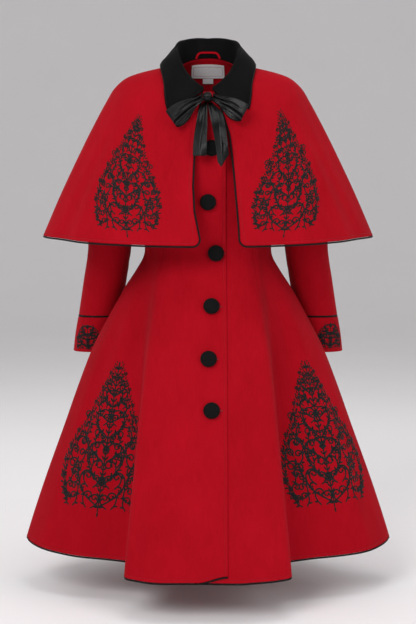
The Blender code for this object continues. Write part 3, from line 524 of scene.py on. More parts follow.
# Points at even steps along a path, with another array carried along.
def evenPath(path, step, carried=None):
    reach = lengthsAlong(path, 0)
    count = max(int(round(reach[-1] / step)), 2)
    at = np.linspace(0, reach[-1], count + 1)
    pick = lambda table: np.stack([np.interp(at, reach, table[:, k]) for k in range(3)], -1)
    return pick(path) if carried is None else (pick(path), pick(carried))


# Round cord beside an edge: its middle stands off the edge by the gap and half its width.
def edgeCord(edge, word, path, normals, side, closed=False):
    along = unit(np.roll(path, -1, 0) - np.roll(path, 1, 0) if closed else np.gradient(path, axis=0))
    out = unit(np.cross(along, normals) * side)
    middle = path + out * (seamGap + pipingWidth / 2) - normals * clothWall / 2
    turns = np.linspace(0, 2 * np.pi, cordSides, endpoint=False)
    half = pipingWidth / 2 * np.ones(len(path))
    if not closed:
        half[[0, -1]] *= 0.55
    ring = middle[:, None] + half[:, None, None] * (out[:, None] * np.cos(turns)[:, None]
                                                    + normals[:, None] * np.sin(turns)[:, None])
    uv = np.stack(np.broadcast_arrays(turns / (2 * np.pi) * cordRound, lengthsAlong(middle, 0)[:, None]), -1)
    faces = tubeFaces(ring[None])
    if closed:
        # one more row of quads, whose last ring is the first
        quads = gridQuads(len(ring) + 1, cordSides, ring=True) % (len(ring) * cordSides)
        flip = signedVolume(ring.reshape(-1, 3) - ring.mean((0, 1)), quads) < 0
        faces = [quads[:, ::-1] if flip else quads]
    replaced = [edge + "_piping_" + word]
    meshPiece("cord_" + edge + "_" + word, ring, faces, cordCloth, replaced, uv)


# Rows of stitches on paths: short capsules, each sunk a little at both ends.
def stitchPiece(name, lines, material):
    shares = np.array([0.10, 0.26, 0.58, 0.74])
    lift = np.array([-0.10, 0.24, 0.24, -0.10]) * mm
    thick = np.array([0.18, 0.36, 0.36, 0.18]) * mm
    turns = np.linspace(0, 2 * np.pi, 5, endpoint=False)
    rings = []
    for path, normals in lines:
        path, normals = evenPath(path, stitchPitch, normals)
        start, run, n = path[:-1, None], np.diff(path, axis=0)[:, None], unit(normals)[:-1, None]
        centre = start + run * shares[:, None] + n * lift[:, None]
        across = np.cross(unit(run), n)[:, None]
        spoke = across * np.cos(turns)[:, None] + n[:, None] * np.sin(turns)[:, None]
        rings.append(centre[:, :, None] + spoke * thick[:, None, None])
    rings = np.concatenate(rings)
    meshPiece(name, rings, tubeFaces(rings), material, sharp=80)


# Materials: all patterns are procedural, on Object coordinates or on the piece's own map.
def newMaterial(name):
    material = bpy.data.materials.new(name)
    material.use_nodes = True
    tree = material.node_tree
    return material, tree, tree.nodes["Principled BSDF"]


def addNode(tree, kind, **values):
    node = tree.nodes.new(kind)
    for key, value in values.items():
        if key in node.inputs:
            node.inputs[key].default_value = value
        else:
            setattr(node, key, value)
    return node


def setInputs(node, values):
    for key, value in values.items():
        node.inputs[key].default_value = value


# Noise on stretched coordinates: source, mapping scale, noise scale and detail.
def noiseOn(tree, source, stretch, scale, detail=3.0, rough=0.6):
    mapping = addNode(tree, "ShaderNodeMapping", Scale=stretch)
    noise = addNode(tree, "ShaderNodeTexNoise", Scale=scale, Detail=detail, Roughness=rough)
    tree.links.new(source, mapping.inputs["Vector"])
    tree.links.new(mapping.outputs["Vector"], noise.inputs["Vector"])
    return noise.outputs["Fac"]


def rampOn(tree, factor, stops):
    ramp = addNode(tree, "ShaderNodeValToRGB")
    elements = ramp.color_ramp.elements
    for index, (place, colour) in enumerate(stops):
        element = elements[index] if index < 2 else elements.new(place)
        element.position, element.color = place, (*colour, 1)
    tree.links.new(factor, ramp.inputs["Fac"])
    return ramp.outputs["Color"]


def addMath(tree, operation, a, b):
    node = addNode(tree, "ShaderNodeMath", operation=operation)
    for index, value in enumerate((a, b)):
        if isinstance(value, (int, float)):
            node.inputs[index].default_value = value
        else:
            tree.links.new(value, node.inputs[index])
    return node.outputs["Value"]


def bumpOn(tree, height, strength, distance, before=None):
    bump = addNode(tree, "ShaderNodeBump", Strength=strength, Distance=distance)
    tree.links.new(height, bump.inputs["Height"])
    if before is not None:
        tree.links.new(before, bump.inputs["Normal"])
    return bump.outputs["Normal"]


# Brushed wool: long soft nap downwards over a fine felted ground, with a broad unevenness.
def woolMaterial(name, settings):
    material, tree, shader = newMaterial(name)
    place = addNode(tree, "ShaderNodeTexCoord").outputs["Object"]
    laid = addNode(tree, "ShaderNodeUVMap", uv_map="cloth").outputs["UV"]
    broad = noiseOn(tree, place, (1, 1, 0.55), settings["broad"], 4.0)
    nap = noiseOn(tree, laid, (1, 0.12, 1), settings["nap"], 4.0, 0.7)
    fibre = noiseOn(tree, place, (1, 1, 1), settings["fibre"], 3.0, 0.75)
    mixed = addMath(tree, "ADD", addMath(tree, "MULTIPLY", broad, 0.5), addMath(tree, "MULTIPLY", nap, 0.3))
    mixed = addMath(tree, "ADD", mixed, addMath(tree, "MULTIPLY", fibre, 0.2))
    colour = rampOn(tree, mixed, [(0.36, settings["dark"]), (0.64, settings["light"])])
    tree.links.new(colour, shader.inputs["Base Color"])
    roughness = rampOn(tree, fibre, [(0.3, (0.80,) * 3), (0.7, (0.94,) * 3)])
    tree.links.new(roughness, shader.inputs["Roughness"])
    normal = bumpOn(tree, fibre, settings["fibreBump"], 0.0006)
    normal = bumpOn(tree, nap, settings["napBump"], 0.0010, normal)
    tree.links.new(normal, shader.inputs["Normal"])
    setInputs(shader, {"Sheen Weight": settings["sheen"], "Sheen Roughness": 0.45,
                       "Sheen Tint": (*settings["sheenTint"], 1), "Specular IOR Level": settings["specular"]})
    return material


# Satin: fine ribs across the ribbon, a broad soft gloss that runs along it.
def satinMaterial(name, settings):
    material, tree, shader = newMaterial(name)
    place = addNode(tree, "ShaderNodeUVMap", uv_map="cloth").outputs["UV"]
    rib = addNode(tree, "ShaderNodeTexWave", bands_direction="Y", Scale=settings["rib"],
                  Distortion=0.4, Detail=1.0)
    tree.links.new(place, rib.inputs["Vector"])
    ground = noiseOn(tree, place, (1, 1, 1), settings["ground"], 3.0)
    colour = rampOn(tree, ground, [(0.3, settings["dark"]), (0.7, settings["light"])])
    tree.links.new(colour, shader.inputs["Base Color"])
    gloss = settings["gloss"]
    roughness = rampOn(tree, ground, [(0.3, (gloss,) * 3), (0.7, (gloss + 0.1,) * 3)])
    tree.links.new(roughness, shader.inputs["Roughness"])
    tree.links.new(bumpOn(tree, rib.outputs["Fac"], 0.25, 0.0002), shader.inputs["Normal"])
    setInputs(shader, {"Specular IOR Level": settings["specular"], "Anisotropic": 0.5,
                       "Sheen Weight": settings["sheen"], "Sheen Roughness": 0.3})
    return material


# Plain weave on the piece's own map: warp and weft waves multiplied, with slubs of noise.
def wovenMaterial(name, settings):
    material, tree, shader = newMaterial(name)
    if settings.get("object"):
        source = addNode(tree, "ShaderNodeTexCoord").outputs["Object"]
    else:
        source = addNode(tree, "ShaderNodeUVMap", uv_map="cloth").outputs["UV"]
    waves = []
    for direction in settings.get("directions", ("X", "Y")):
        wave = addNode(tree, "ShaderNodeTexWave", bands_direction=direction, Scale=settings["threads"],
                       Distortion=0.6, Detail=1.0)
        tree.links.new(source, wave.inputs["Vector"])
        waves.append(wave.outputs["Fac"])
    weave = addMath(tree, "MULTIPLY", waves[0], waves[1])
    ground = noiseOn(tree, source, (1, 1, 1), settings["ground"], 3.0)
    mixed = addMath(tree, "ADD", addMath(tree, "MULTIPLY", weave, 0.5), addMath(tree, "MULTIPLY", ground, 0.5))
    colour = rampOn(tree, mixed, [(0.25, settings["dark"]), (0.75, settings["light"])])
    tree.links.new(colour, shader.inputs["Base Color"])
    tree.links.new(bumpOn(tree, weave, settings["bump"], 0.0004), shader.inputs["Normal"])
    setInputs(shader, {"Roughness": settings["roughness"], "Sheen Weight": settings["sheen"],
                       "Sheen Roughness": 0.4, "Specular IOR Level": settings["specular"]})
    return material


redWool = woolMaterial("red_brushed_wool", dict(
    dark=(0.275, 0.0012, 0.0058), light=(0.365, 0.0024, 0.0098), broad=9.0, nap=260.0, fibre=2400.0,
    fibreBump=0.30, napBump=0.20, sheen=0.06, sheenTint=(1.0, 0.12, 0.16), specular=0.06))
blackFelt = woolMaterial("black_collar_felt", dict(
    dark=(0.0018, 0.0017, 0.0018), light=(0.0048, 0.0045, 0.0046), broad=30.0, nap=500.0, fibre=2600.0,
    fibreBump=0.45, napBump=0.2, sheen=0.015, sheenTint=(0.7, 0.75, 0.8), specular=0.07))
blackSatin = satinMaterial("black_satin_ribbon", dict(
    dark=(0.0018, 0.0018, 0.0019), light=(0.0034, 0.0034, 0.0037), rib=900.0, ground=60.0,
    gloss=0.15, specular=0.19, sheen=0.0))
buttonCloth = wovenMaterial("black_button_cloth", dict(
    object=True, directions=("X", "Z"), dark=(0.0022, 0.0022, 0.0023), light=(0.0078, 0.0076, 0.0077),
    threads=420.0, ground=900.0, roughness=0.80, bump=0.6, sheen=0.02, specular=0.10))
cordCloth = wovenMaterial("dark_piping_cloth", dict(
    dark=(0.0030, 0.0044, 0.0048), light=(0.0062, 0.0084, 0.0088), threads=700.0, ground=500.0,
    roughness=0.62, bump=0.4, sheen=0.01, specular=0.10))
labelCloth = wovenMaterial("pale_label_tape", dict(
    dark=(0.66, 0.64, 0.65), light=(0.84, 0.82, 0.83), threads=900.0, ground=220.0,
    roughness=0.55, bump=0.45, sheen=0.15, specular=0.4))
labelEdge = wovenMaterial("label_border_thread", dict(
    object=True, directions=("X", "Z"), dark=(0.42, 0.20, 0.22), light=(0.56, 0.30, 0.32), threads=900.0,
    ground=300.0, roughness=0.6, bump=0.2, sheen=0.1, specular=0.3))
darkThread = wovenMaterial("embroidery_thread", dict(
    directions=("X", "Y"), dark=(0.0030, 0.0050, 0.0052), light=(0.0070, 0.0108, 0.0112),
    threads=900.0, ground=700.0, roughness=0.50, bump=0.5, sheen=0.01, specular=0.16))
redThread = wovenMaterial("red_sewing_thread", dict(
    object=True, directions=("X", "Z"), dark=(0.22, 0.003, 0.008), light=(0.34, 0.006, 0.014),
    threads=1200.0, ground=600.0, roughness=0.6, bump=0.3, sheen=0.1, specular=0.3))
blackThread = wovenMaterial("black_sewing_thread", dict(
    object=True, directions=("X", "Z"), dark=(0.010, 0.010, 0.011), light=(0.022, 0.022, 0.023),
    threads=1200.0, ground=600.0, roughness=0.5, bump=0.3, sheen=0.1, specular=0.4))
print("materials made")


# A piece of cloth on a grid: its two sides and rims and its map; the size it is cut to is measured and not
# kept.
def clothPiece(node, grid, n, edges, worn, ring=False,
               material=redWool, wall=clothWall):
    outer, inner = clothSides(grid, n, wall, edges, worn, ring)
    name = "cloth_" + node.removeprefix("coat_")
    piece = wallPiece(name, outer, inner, material, [node], ring, clothMap(grid))
    cutSheet(grid, ring)
    return outer

# The coat itself: eight panels from hem to neck, two-piece sleeves and cuffs.

# What the panels are drawn with, in mm: distances of the columns from a sewn or bound edge.
panelCut = dict(
    boundEdge=[0, 0.5, 1.2, 2.4, 3.8, 5.0, 6.0, 7.0, 8.4, 11.0],
    sewnEdge=[0, 0.5, 1.3, 2.6, 5.0, 9.0],
    step=6.5)
stitchColumn = panelCut["boundEdge"].index(6.0)    # the grid line that a row of stitches follows

# Creases of the coat body, worn in: from one place to another as angle and row, how wide
# and how deep in mm; the hidden sides carry like ones, none alike.
coatCreases = np.array([
    # angle, row, angle, row, width, depth
    (-40.0, 11.6, -26, 9.2, 9, -1.6), (-47, 12.2, -38, 8.6, 11, -2.2), (-30, 10.9, -21, 8.2, 8, -1.1),
    (39, 11.8, 27, 9, 10, -1.7), (46, 12.4, 40, 8.4, 12, -2.3), (29, 11, 20, 8.5, 8, -0.9),
    (-52, 13.1, -34, 12, 9, -1.5), (-58, 14, -36, 13.2, 10, -1.3), (54, 13.4, 33, 12.2, 10, -1.6),
    (60, 14.2, 38, 13.6, 9, -1.1), (-72, 12.3, -58, 10.6, 12, -2.4), (-84, 11.8, -70, 9.4, 12, -2.6),
    (74, 12.1, 58, 10.4, 13, -2.3), (86, 11.7, 69, 9.6, 12, -2.4), (-104, 12.2, -120, 10.3, 12, -2.2),
    (103, 12.4, 119, 10.2, 13, -2.5), (-132, 11.9, -146, 9.8, 12, -1.9), (133, 12, 149, 9.6, 12, -2.1),
    (-158, 12.1, -169, 10, 10, -1.4), (160, 11.8, 171, 9.7, 10, -1.6), (-128, 14.6, -148, 13.3, 13, -1.7),
    (127, 14.4, 150, 13.5, 12, -1.5), (-24, 7.6, -28, 2.6, 16, -1.5), (-9, 6.4, -12, 1.6, 20, -1.1),
    (9, 7.2, 12, 2.2, 18, -1.3), (25, 8, 29, 3.2, 15, -1.8), (-62, 7.8, -64, 1.4, 17, -2.6),
    (-76, 6.6, -79, 0.6, 16, -2.2), (66, 7.6, 69, 1, 18, -2.8), (80, 6.8, 83, 0.4, 15, -2),
    (-100, 7.4, -103, 1.2, 17, -2.4), (-122, 7, -124, 0.8, 16, -2.7), (104, 7.6, 107, 1.6, 16, -2.3),
    (126, 7.2, 130, 1, 17, -2.9), (-144, 7.6, -147, 1.4, 16, -2.2), (-166, 6.9, -168, 0.9, 17, -2),
    (145, 7.4, 149, 1.2, 16, -2.6), (168, 7.1, 170, 1.6, 15, -1.9)])

# Creases of a sleeve: from turn and row to turn and row, mostly at the inside of the elbow.
sleeveCreases = {
    "right": np.array([
        (50.0, 4.7, 150, 5.3, 7, -2.3), (40, 5.6, 140, 5.9, 6, -1.9), (64, 6.4, 150, 6.2, 7, -1.8),
        (98, 4, 196, 4.6, 8, -2), (62, 3.3, 132, 4.2, 10, -1.7), (20, 7.1, 96, 7.5, 9, -1.4),
        (104, 7.9, 184, 7.4, 8, -1.2), (-56, 5.9, 10, 6.6, 10, -1.3), (230, 4.8, 300, 5.5, 10, -1.5),
        (214, 6.4, 282, 7.1, 9, -1.3), (240, 2.6, 296, 3.4, 12, -1.6)]),
    "left": np.array([
        (44.0, 4.9, 148, 5.2, 7, -2.1), (52, 5.8, 150, 6.1, 6, -2), (36, 6.6, 130, 6.4, 8, -1.5),
        (90, 4.2, 190, 4.4, 9, -2.2), (70, 3.2, 140, 3.9, 9, -1.5), (30, 7.4, 108, 7.2, 8, -1.5),
        (110, 8, 176, 7.7, 8, -1.1), (-60, 6.2, 4, 6.7, 11, -1.4), (226, 5, 304, 5.4, 9, -1.6),
        (210, 6.6, 276, 6.9, 9, -1.2), (236, 2.8, 300, 3.2, 12, -1.7)])}


# Angles of a grid between two edges: in each row the columns stand at the given distances
# from both edges, measured along the cloth, with even steps between.
def spreadAngles(surface, start, end, rows, fromStart, fromEnd, between):
    angles = start[:, None] + (end - start)[:, None] * np.linspace(0, 1, 241)
    reach = lengthsAlong(surface(angles, rows[:, None]), 1)
    width = reach[:, -1:]
    first, last = np.array(fromStart)[None] * mm, np.array(fromEnd)[None, ::-1] * mm
    fit = np.minimum(1, 0.8 * width / (first.max() + last.max()))
    left, right = first * fit, width - last * fit
    inside = left[:, -1:] + (right[:, :1] - left[:, -1:]) * np.linspace(0, 1, between + 2)[1:-1]
    wanted = np.hstack([left, inside, right])
    return np.stack([np.interp(w, r, a) for w, r, a in zip(wanted, reach, angles)])


# Rows of a grid at the given distances from both ends of a line down the cloth.
def spreadRows(surface, angle, low, high, fromLow, fromHigh, step):
    rows = np.linspace(low, high, 900)
    reach = lengthsAlong(surface(np.full(900, float(angle)), rows), 0)
    first, last = np.array(fromLow) * mm, reach[-1] - np.array(fromHigh)[::-1] * mm
    count = max(int((last[0] - first[-1]) / (step * mm)), 2)
    inside = np.linspace(first[-1], last[0], count + 2)[1:-1]
    return np.interp(np.concatenate([first, inside, last]), reach, rows)


dent = dict(middle=19 * mm, spread=7 * mm, depth=0.8 * mm)


# Dent of the cloth round each button: shallow under it, with soft pulls to both sides.
def buttonDents(points):
    height = np.zeros(points.shape[:-1])
    for number, (x, z) in enumerate(buttonPlaces):
        dx, dz = points[..., 0] - x, points[..., 2] - z
        away = np.hypot(dx, dz)
        front = points[..., 1] < 0
        ring = np.exp(-((away - dent["middle"]) / dent["spread"]) ** 2)
        pulls = np.cos(2 * np.arctan2(dz, dx) + 0.4 * number) ** 2
        height -= front * (0.45 + 0.55 * pulls) * dent["depth"] * ring
    return height


# One coat panel between two seam angles, with the lift of its hem for the piping below.
def makePanel(name, startAngle, endAngle, side, lift, rise, edges):
    rows = spreadRows(bodyPoint, 20, 0, neckRow, panelCut["boundEdge"], [0, 1.2, 4], panelCut["step"])
    start, end = startAngle(rows), endAngle(rows)
    inwards = np.sign(end - start).max()
    start = start + inwards * angleForLength(bodyPoint, side * start, rows, seamGap / 2)
    end = end - inwards * angleForLength(bodyPoint, side * end, rows, seamGap / 2)
    hem = bodyPoint(side * np.linspace(start[0], end[0], 60), rows[0])
    between = int(lengthsAlong(hem, 0)[-1] / (panelCut["step"] * mm))
    first = panelCut["boundEdge" if edges["start"] == "stitched" else "sewnEdge"]
    angles = spreadAngles(bodyPoint, side * start, side * end, rows, first, panelCut["sewnEdge"], between)
    rowGrid = np.repeat(rows[:, None], angles.shape[1], 1)
    hemLift = pipingWidth + seamGap + rise(angles[0])
    rowGrid = rowGrid + smoothStep(3, 0, rowGrid) * rowsForLength(bodyPoint, angles[0], rowGrid[0], hemLift)
    n = surfaceNormal(bodyPoint, angles, rowGrid)
    flat = bodyPoint(angles, rowGrid)
    worn = creasesOn(bodyPoint, coatCreases, flat) + buttonDents(flat)
    worn *= np.clip(lengthsAlong(flat, 0) / (40 * mm), 0.25, 1)
    laid = flat + n * lift(angles, rowGrid)[..., None]
    outer = clothPiece("coat_" + name, laid, n, edges, worn)
    edgeCord("hem", name, outer[0], n[0], np.sign(angles[0, 1] - angles[0, 0]))
    panels[name] = outer, n


def makeCoat():
    level = lambda angles, rows=None: np.zeros_like(angles)
    edge = lambda column: lambda rows: angleAtX(
        bodyPoint, rows, np.interp(rows, coatEdge[:, 0], coatEdge[:, column]))
    seam = lambda column, armhole=0: lambda rows: seamAt(rows, column) + armhole * armholeAngle(rows)

    def overHemRise(angles):
        x = bodyPoint(angles, np.zeros_like(angles))[..., 0]
        return overRise * smoothStep(-0.022, 0.040, x)

    def underLift(angles, rows):
        x = bodyPoint(angles, rows)[..., 0]
        over = np.interp(rows, coatEdge[:, 0], coatEdge[:, 1])
        return -underLap * (1 - smoothStep(over + 0.006, over + 0.040, x))

    sewn = dict(start="seam", end="seam", low="stitched", high="plain")
    bound = dict(sewn, start="stitched")
    makePanel("front_right", lambda rows: -edge(1)(rows), seam(1), -1, level, overHemRise, bound)
    makePanel("front_left", edge(2), seam(1), 1, underLift, level, bound)
    for word, side in sides:
        makePanel("side_front_" + word, seam(1), seam(2, -1), side, level, level, sewn)
        makePanel("side_back_" + word, seam(2, 1), seam(3), side, level, level, sewn)
        makePanel("back_" + word, seam(3), lambda rows: rows * 0 + 180.0, side, level, level, sewn)
    inside = stitchColumn
    lines = [(outer[inside, inside:-1], n[inside, inside:-1]) for outer, n in panels.values()]
    lines += [(outer[inside:, inside], n[inside:, inside])
              for outer, n in (panels["front_right"], panels["front_left"])]
    stitchPiece("stitches_coat_edges", lines, redThread)


sides = ("right", -1), ("left", 1)
panels = {}
makeCoat()
print("coat panels made:", len(panels))

# Grids of the sleeves and cuffs: distances from an edge and steps between, in mm.
sleeveCut = dict(seamEdge=[0, 0.5, 1.4, 3.0, 6.0], endEdge=[0, 0.6, 1.5, 3, 6], step=6.0,
                 columns=dict(top=34, under=16), cuffColumns=96, cuffStep=5.0)


def makeSleeve(word, side):
    surface = lambda t, r: sleevePoint(side, t, np.clip(r, 0, 9))
    rows = spreadRows(surface, 0, 0, 9, sleeveCut["endEdge"], sleeveCut["endEdge"], sleeveCut["step"])
    seat = surfaceNormal(bodyPoint, np.array(side * 90.0), np.array(armholeMiddle)) * 0.6 * mm
    front, back = sleeveSeams
    for layer, start, end in (("top", back - 360, front), ("under", front, back)):
        half = (seamGap + 0.7 * mm * smoothStep(2.6, 0, rows)) / 2
        starts = start + angleForLength(surface, rows * 0 + start, rows, half)
        ends = end - angleForLength(surface, rows * 0 + end, rows, half)
        turns = spreadAngles(surface, starts, ends, rows, sleeveCut["seamEdge"], sleeveCut["seamEdge"],
                             sleeveCut["columns"][layer])
        rowGrid = np.repeat(rows[:, None], turns.shape[1], 1)
        n = surfaceNormal(surface, turns, rowGrid, side)
        flat = surface(turns, rowGrid) + seat * smoothStep(0.3, 0, rowGrid)[..., None]
        worn = creasesOn(surface, sleeveCreases[word], flat) * smoothStep(1.2, 2.4, rowGrid)
        clothPiece(layer + "_sleeve_" + word, flat, n, dict.fromkeys(("start", "end", "low", "high"), "seam"),
                   worn)


# The turned cuff hangs round the sleeve's end, with a cord between the two.
def makeCuff(word, side):
    surface = lambda t, r: sleevePoint(side, t, np.clip(r, 0, 9))
    turns = np.linspace(0, 360, sleeveCut["cuffColumns"], endpoint=False)
    ending = np.full_like(turns, 9.0)
    facing = surfaceNormal(surface, turns, ending, side)
    edgeCord("cuff", word, surface(turns, ending), facing, -side, closed=True)
    cuff = lambda t, r: tubePoint(cuffRings, side, t, r)
    rows = spreadRows(cuff, 0, 0, 2, sleeveCut["endEdge"], panelCut["boundEdge"], sleeveCut["cuffStep"])
    turnGrid, rowGrid = np.meshgrid(turns, rows)
    n = surfaceNormal(cuff, turnGrid, rowGrid, side)
    worn = 0.9 * mm * np.sin(np.radians(turnGrid * 2 + 40)) * np.sin(np.pi * rowGrid / 2)
    outer = clothPiece("cuff_" + word, cuff(turnGrid, rowGrid), n, dict(low="seam", high="stitched"), worn,
                       ring=True)
    row = len(rows) - 1 - stitchColumn
    closed = [np.vstack([t[row], t[row, :1]]) for t in (outer, n)]
    stitchPiece("stitches_cuff_" + word, [closed], redThread)
    cuffs[word] = outer, n


cuffs = {}
for word, side in sides:
    makeSleeve(word, side)
    makeCuff(word, side)
print("sleeves and cuffs made")

# The cape: two fronts and one back, bound with cord, over soft waves of its own.
capeCreases = np.array([
    # angle, row, angle, row, width, depth
    (-24.0, 3.2, -31, 8.6, 13, -1.9), (-47, 4.2, -45, 9, 15, -2.2), (-70, 4.8, -72, 8.8, 14, -2),
    (-15, 5.4, -17, 8.4, 9, -1), (22, 3.6, 27, 8.8, 13, -1.7), (46, 4, 49, 8.9, 15, -2.3),
    (72, 5, 75, 8.7, 14, -2.1), (33, 6.2, 36, 8.9, 9, -1.1), (-58, 2.4, -76, 4.4, 14, -1.2),
    (60, 2.6, 77, 4.2, 13, -1.3), (102, 4.6, 104, 8.9, 14, -2.4), (131, 3.8, 134, 8.8, 16, -2.6),
    (160, 4.2, 163, 9, 15, -2.2), (-104, 4.2, -108, 8.9, 15, -2.5), (-138, 4, -142, 8.8, 15, -2.4),
    (-168, 4.8, -170, 8.7, 14, -2)])


# Each part of the cape hangs from the neck row to its hem, which stays clear of the cord.
def makeCape():
    hemTrim = pipingWidth + seamGap
    bound, sewn = panelCut["boundEdge"], panelCut["sewnEdge"]
    rows = spreadRows(capePoint, 40, 0, 9, [0, 1.2, 3], bound, 5.6)
    seamHalf = lambda angle: angleForLength(capePoint, angle + rows * 0, rows, seamGap / 2)
    zFront = smoothTable(np.arange(10.0), capeRings, rows)[:, 4]
    inside, down = stitchColumn, -1 - stitchColumn
    lines = []
    for word, side, column in (("right", -1, 1), ("left", 1, 2), ("back", 1, None)):
        if word == "back":
            node, rests = "cape_back", ["coat_back_right", "coat_back_left"]
            start, end, first, kind, between = 90 + seamHalf(90.0), 270 - seamHalf(90.0), sewn, "seam", 132
            edgeOf = lambda t: t[-1]
            stitchesOf = lambda t: t[down, 1:-1]
        else:
            node, rests = "cape_front_" + word, ["coat_front_" + word, "coat_side_front_" + word]
            start = angleAtX(capePoint, rows, np.interp(zFront, capeEdge[:, 0], capeEdge[:, column]))
            start = start + side * angleForLength(capePoint, start, rows, hemTrim)
            end, first, kind, between = side * (90 - seamHalf(side * 90.0)), bound, "stitched", 62
            edgeOf = lambda t: np.vstack([t[:, 0], t[-1, 1:]])
            stitchesOf = lambda t: np.vstack([t[6:-14, inside], t[down, inside + 3:-1]])
        angles = spreadAngles(capePoint, start, end, rows, first, sewn, between)
        rowGrid = np.repeat(rows[:, None], angles.shape[1], 1)
        trim = hemTrim
        if word != "back":
            # the front corner is cut round
            hem = capePoint(angles[-1], rowGrid[-1])
            inCorner = np.clip(capeCorner - np.linalg.norm(hem - hem[:1], axis=-1), 0, capeCorner)
            trim = hemTrim + capeCorner - np.sqrt(capeCorner**2 - inCorner**2)
        rowGrid = rowGrid - smoothStep(6, 9, rowGrid) * rowsForLength(capePoint, angles[-1], rowGrid[-1], trim)
        n = surfaceNormal(capePoint, angles, rowGrid, -1)
        flat = capePoint(angles, rowGrid)
        worn = creasesOn(capePoint, capeCreases, flat) * smoothStep(1.0, 3.0, rowGrid)
        kinds = dict(start=kind, end="seam", low="plain", high="stitched")
        outer = clothPiece(node, flat, n, kinds, worn)
        edgeCord("cape", word, edgeOf(outer), edgeOf(n), side)
        lines.append((stitchesOf(outer), stitchesOf(n)))
        capeParts[word] = outer, n
    stitchPiece("stitches_cape_edges", lines, redThread)


capeParts = {}
makeCape()
print("cape made")

# The collar's grid: angles at its ends, and steps up the stand, over the roll and down the fall.
collarEnds = np.array([0, 0.35, 0.8, 1.6, 2.6, 3.6, 4.6, 5.4, 6.4, 8.0])
collarHem = np.array([0.14, 0.28, 0.42, 0.54, 0.64, 0.72, 0.79, 0.86, 0.92, 0.96, 0.985, 1])
collarColumns, collarHemStep = 200, 2.72


# The turned-down collar: its section stands, rolls over and falls onto the cape.
def makeCollar():
    angles = np.concatenate([6 + collarEnds, np.linspace(16, 344, collarColumns), 354 - collarEnds[::-1]])
    steps = np.concatenate([np.linspace(0, 1, 6), np.linspace(1, 2, 15)[1:],
                            np.linspace(2, collarHemStep, 16)[1:],
                            collarHemStep + (3 - collarHemStep) * collarHem])
    angleGrid, stepGrid = np.meshgrid(angles, steps)
    flat = collarPoint(angleGrid, stepGrid)
    n = surfaceNormal(collarPoint, angleGrid, stepGrid)
    back = len(angles) // 2
    n *= -np.sign(n[0, back, 1])
    soft = smoothStep(2.1, 2.6, stepGrid) * smoothStep(3.0, 2.6, stepGrid)
    worn = 0.7 * mm * np.sin(np.radians(angleGrid * 5 + 30)) * soft
    kinds = dict(start="stitched", end="stitched", low="plain", high="stitched")
    outer = clothPiece("collar", flat, n, kinds, worn,
                       material=blackFelt, wall=collarWall)
    reach = lengthsAlong(flat, 0)[:, back]
    row = np.abs(reach[-1] - reach - stitchRow).argmin()
    stitchPiece("stitches_collar", [(outer[row, 4:-4], n[row, 4:-4])], blackThread)


makeCollar()
print("collar made")

# Covered buttons, turned: share of the radius and share of the height from the back up.
buttonTurn = dict(height=9.6 * mm, sides=56, gathers=22, gatherDepth=0.35 * mm)
buttonProfile = np.array([
    (0.05, 0), (0.55, 0), (0.8, 0.01), (0.89, 0.07), (0.955, 0.18), (0.99, 0.32), (1, 0.43), (0.99, 0.54),
    (0.955, 0.66), (0.9, 0.75), (0.82, 0.83), (0.7, 0.9), (0.55, 0.95), (0.38, 0.985), (0.2, 0.998),
    (0.04, 1)])


# Seat of a button on the coat: place, normal, the two directions in its plane, height of the
# cloth there, angle and row.
def buttonSeat(number):
    x, z = buttonPlaces[number]
    rows = np.linspace(0, neckRow, 600)
    angles = angleAtX(bodyPoint, rows, np.full_like(rows, x))
    line = bodyPoint(angles, rows)
    row = np.interp(z, line[:, 2], rows)
    angle = np.interp(row, rows, angles)
    seat = bodyPoint(angle, row)
    n = surfaceNormal(bodyPoint, np.array(angle), np.array(row))
    across = unit(np.cross((0, 0, 1.0), n))
    # height of the cloth under the button, over the plane of its seat
    nearAngles, nearRows = np.meshgrid(angle + np.linspace(-12, 12, 13), row + np.linspace(-0.7, 0.7, 15))
    near = bodyPoint(nearAngles, nearRows) - seat
    under = np.linalg.norm(near, axis=-1) < buttonWidth / 2 + 1 * mm
    return seat, n, across, np.cross(n, across), (near @ n)[under].max(), angle, row


def makeButtons():
    turns = np.linspace(0, 2 * np.pi, buttonTurn["sides"], endpoint=False)
    share, high = buttonProfile[:, :1], buttonProfile[:, 1:]
    gather = np.sin(turns * buttonTurn["gathers"])[None] * np.exp(-((high - 0.22) / 0.16) ** 2)
    radius = share * buttonWidth / 2 - buttonTurn["gatherDepth"] * (0.5 + 0.5 * gather) * (share > 0.85)
    for number in range(len(buttonPlaces)):
        seat, n, across, upward, rest = buttonSeat(number)[:5]
        # a little slack of the cloth over the top, different on each button
        slack = 0.18 * mm * np.sin(turns * 3 + number)[None] * (share > 0.3) * (share < 0.9)
        lift = rest + seamGap + high * buttonTurn["height"] + slack
        points = (seat + n * lift[..., None] + across * (radius * np.cos(turns))[..., None]
                  + upward * (radius * np.sin(turns))[..., None])
        node = "button_%d" % (number + 1)
        meshPiece("covered_" + node, points, tubeFaces(points[None]), buttonCloth, [node], sharp=60)


makeButtons()
print("buttons made:", len(buttonPlaces))

# Buttonholes: a bar of close stitches beside each button, towards the front edge; in mm.
holes = dict(start=-11.0, end=23.0, half=1.3, high=0.55, count=40)


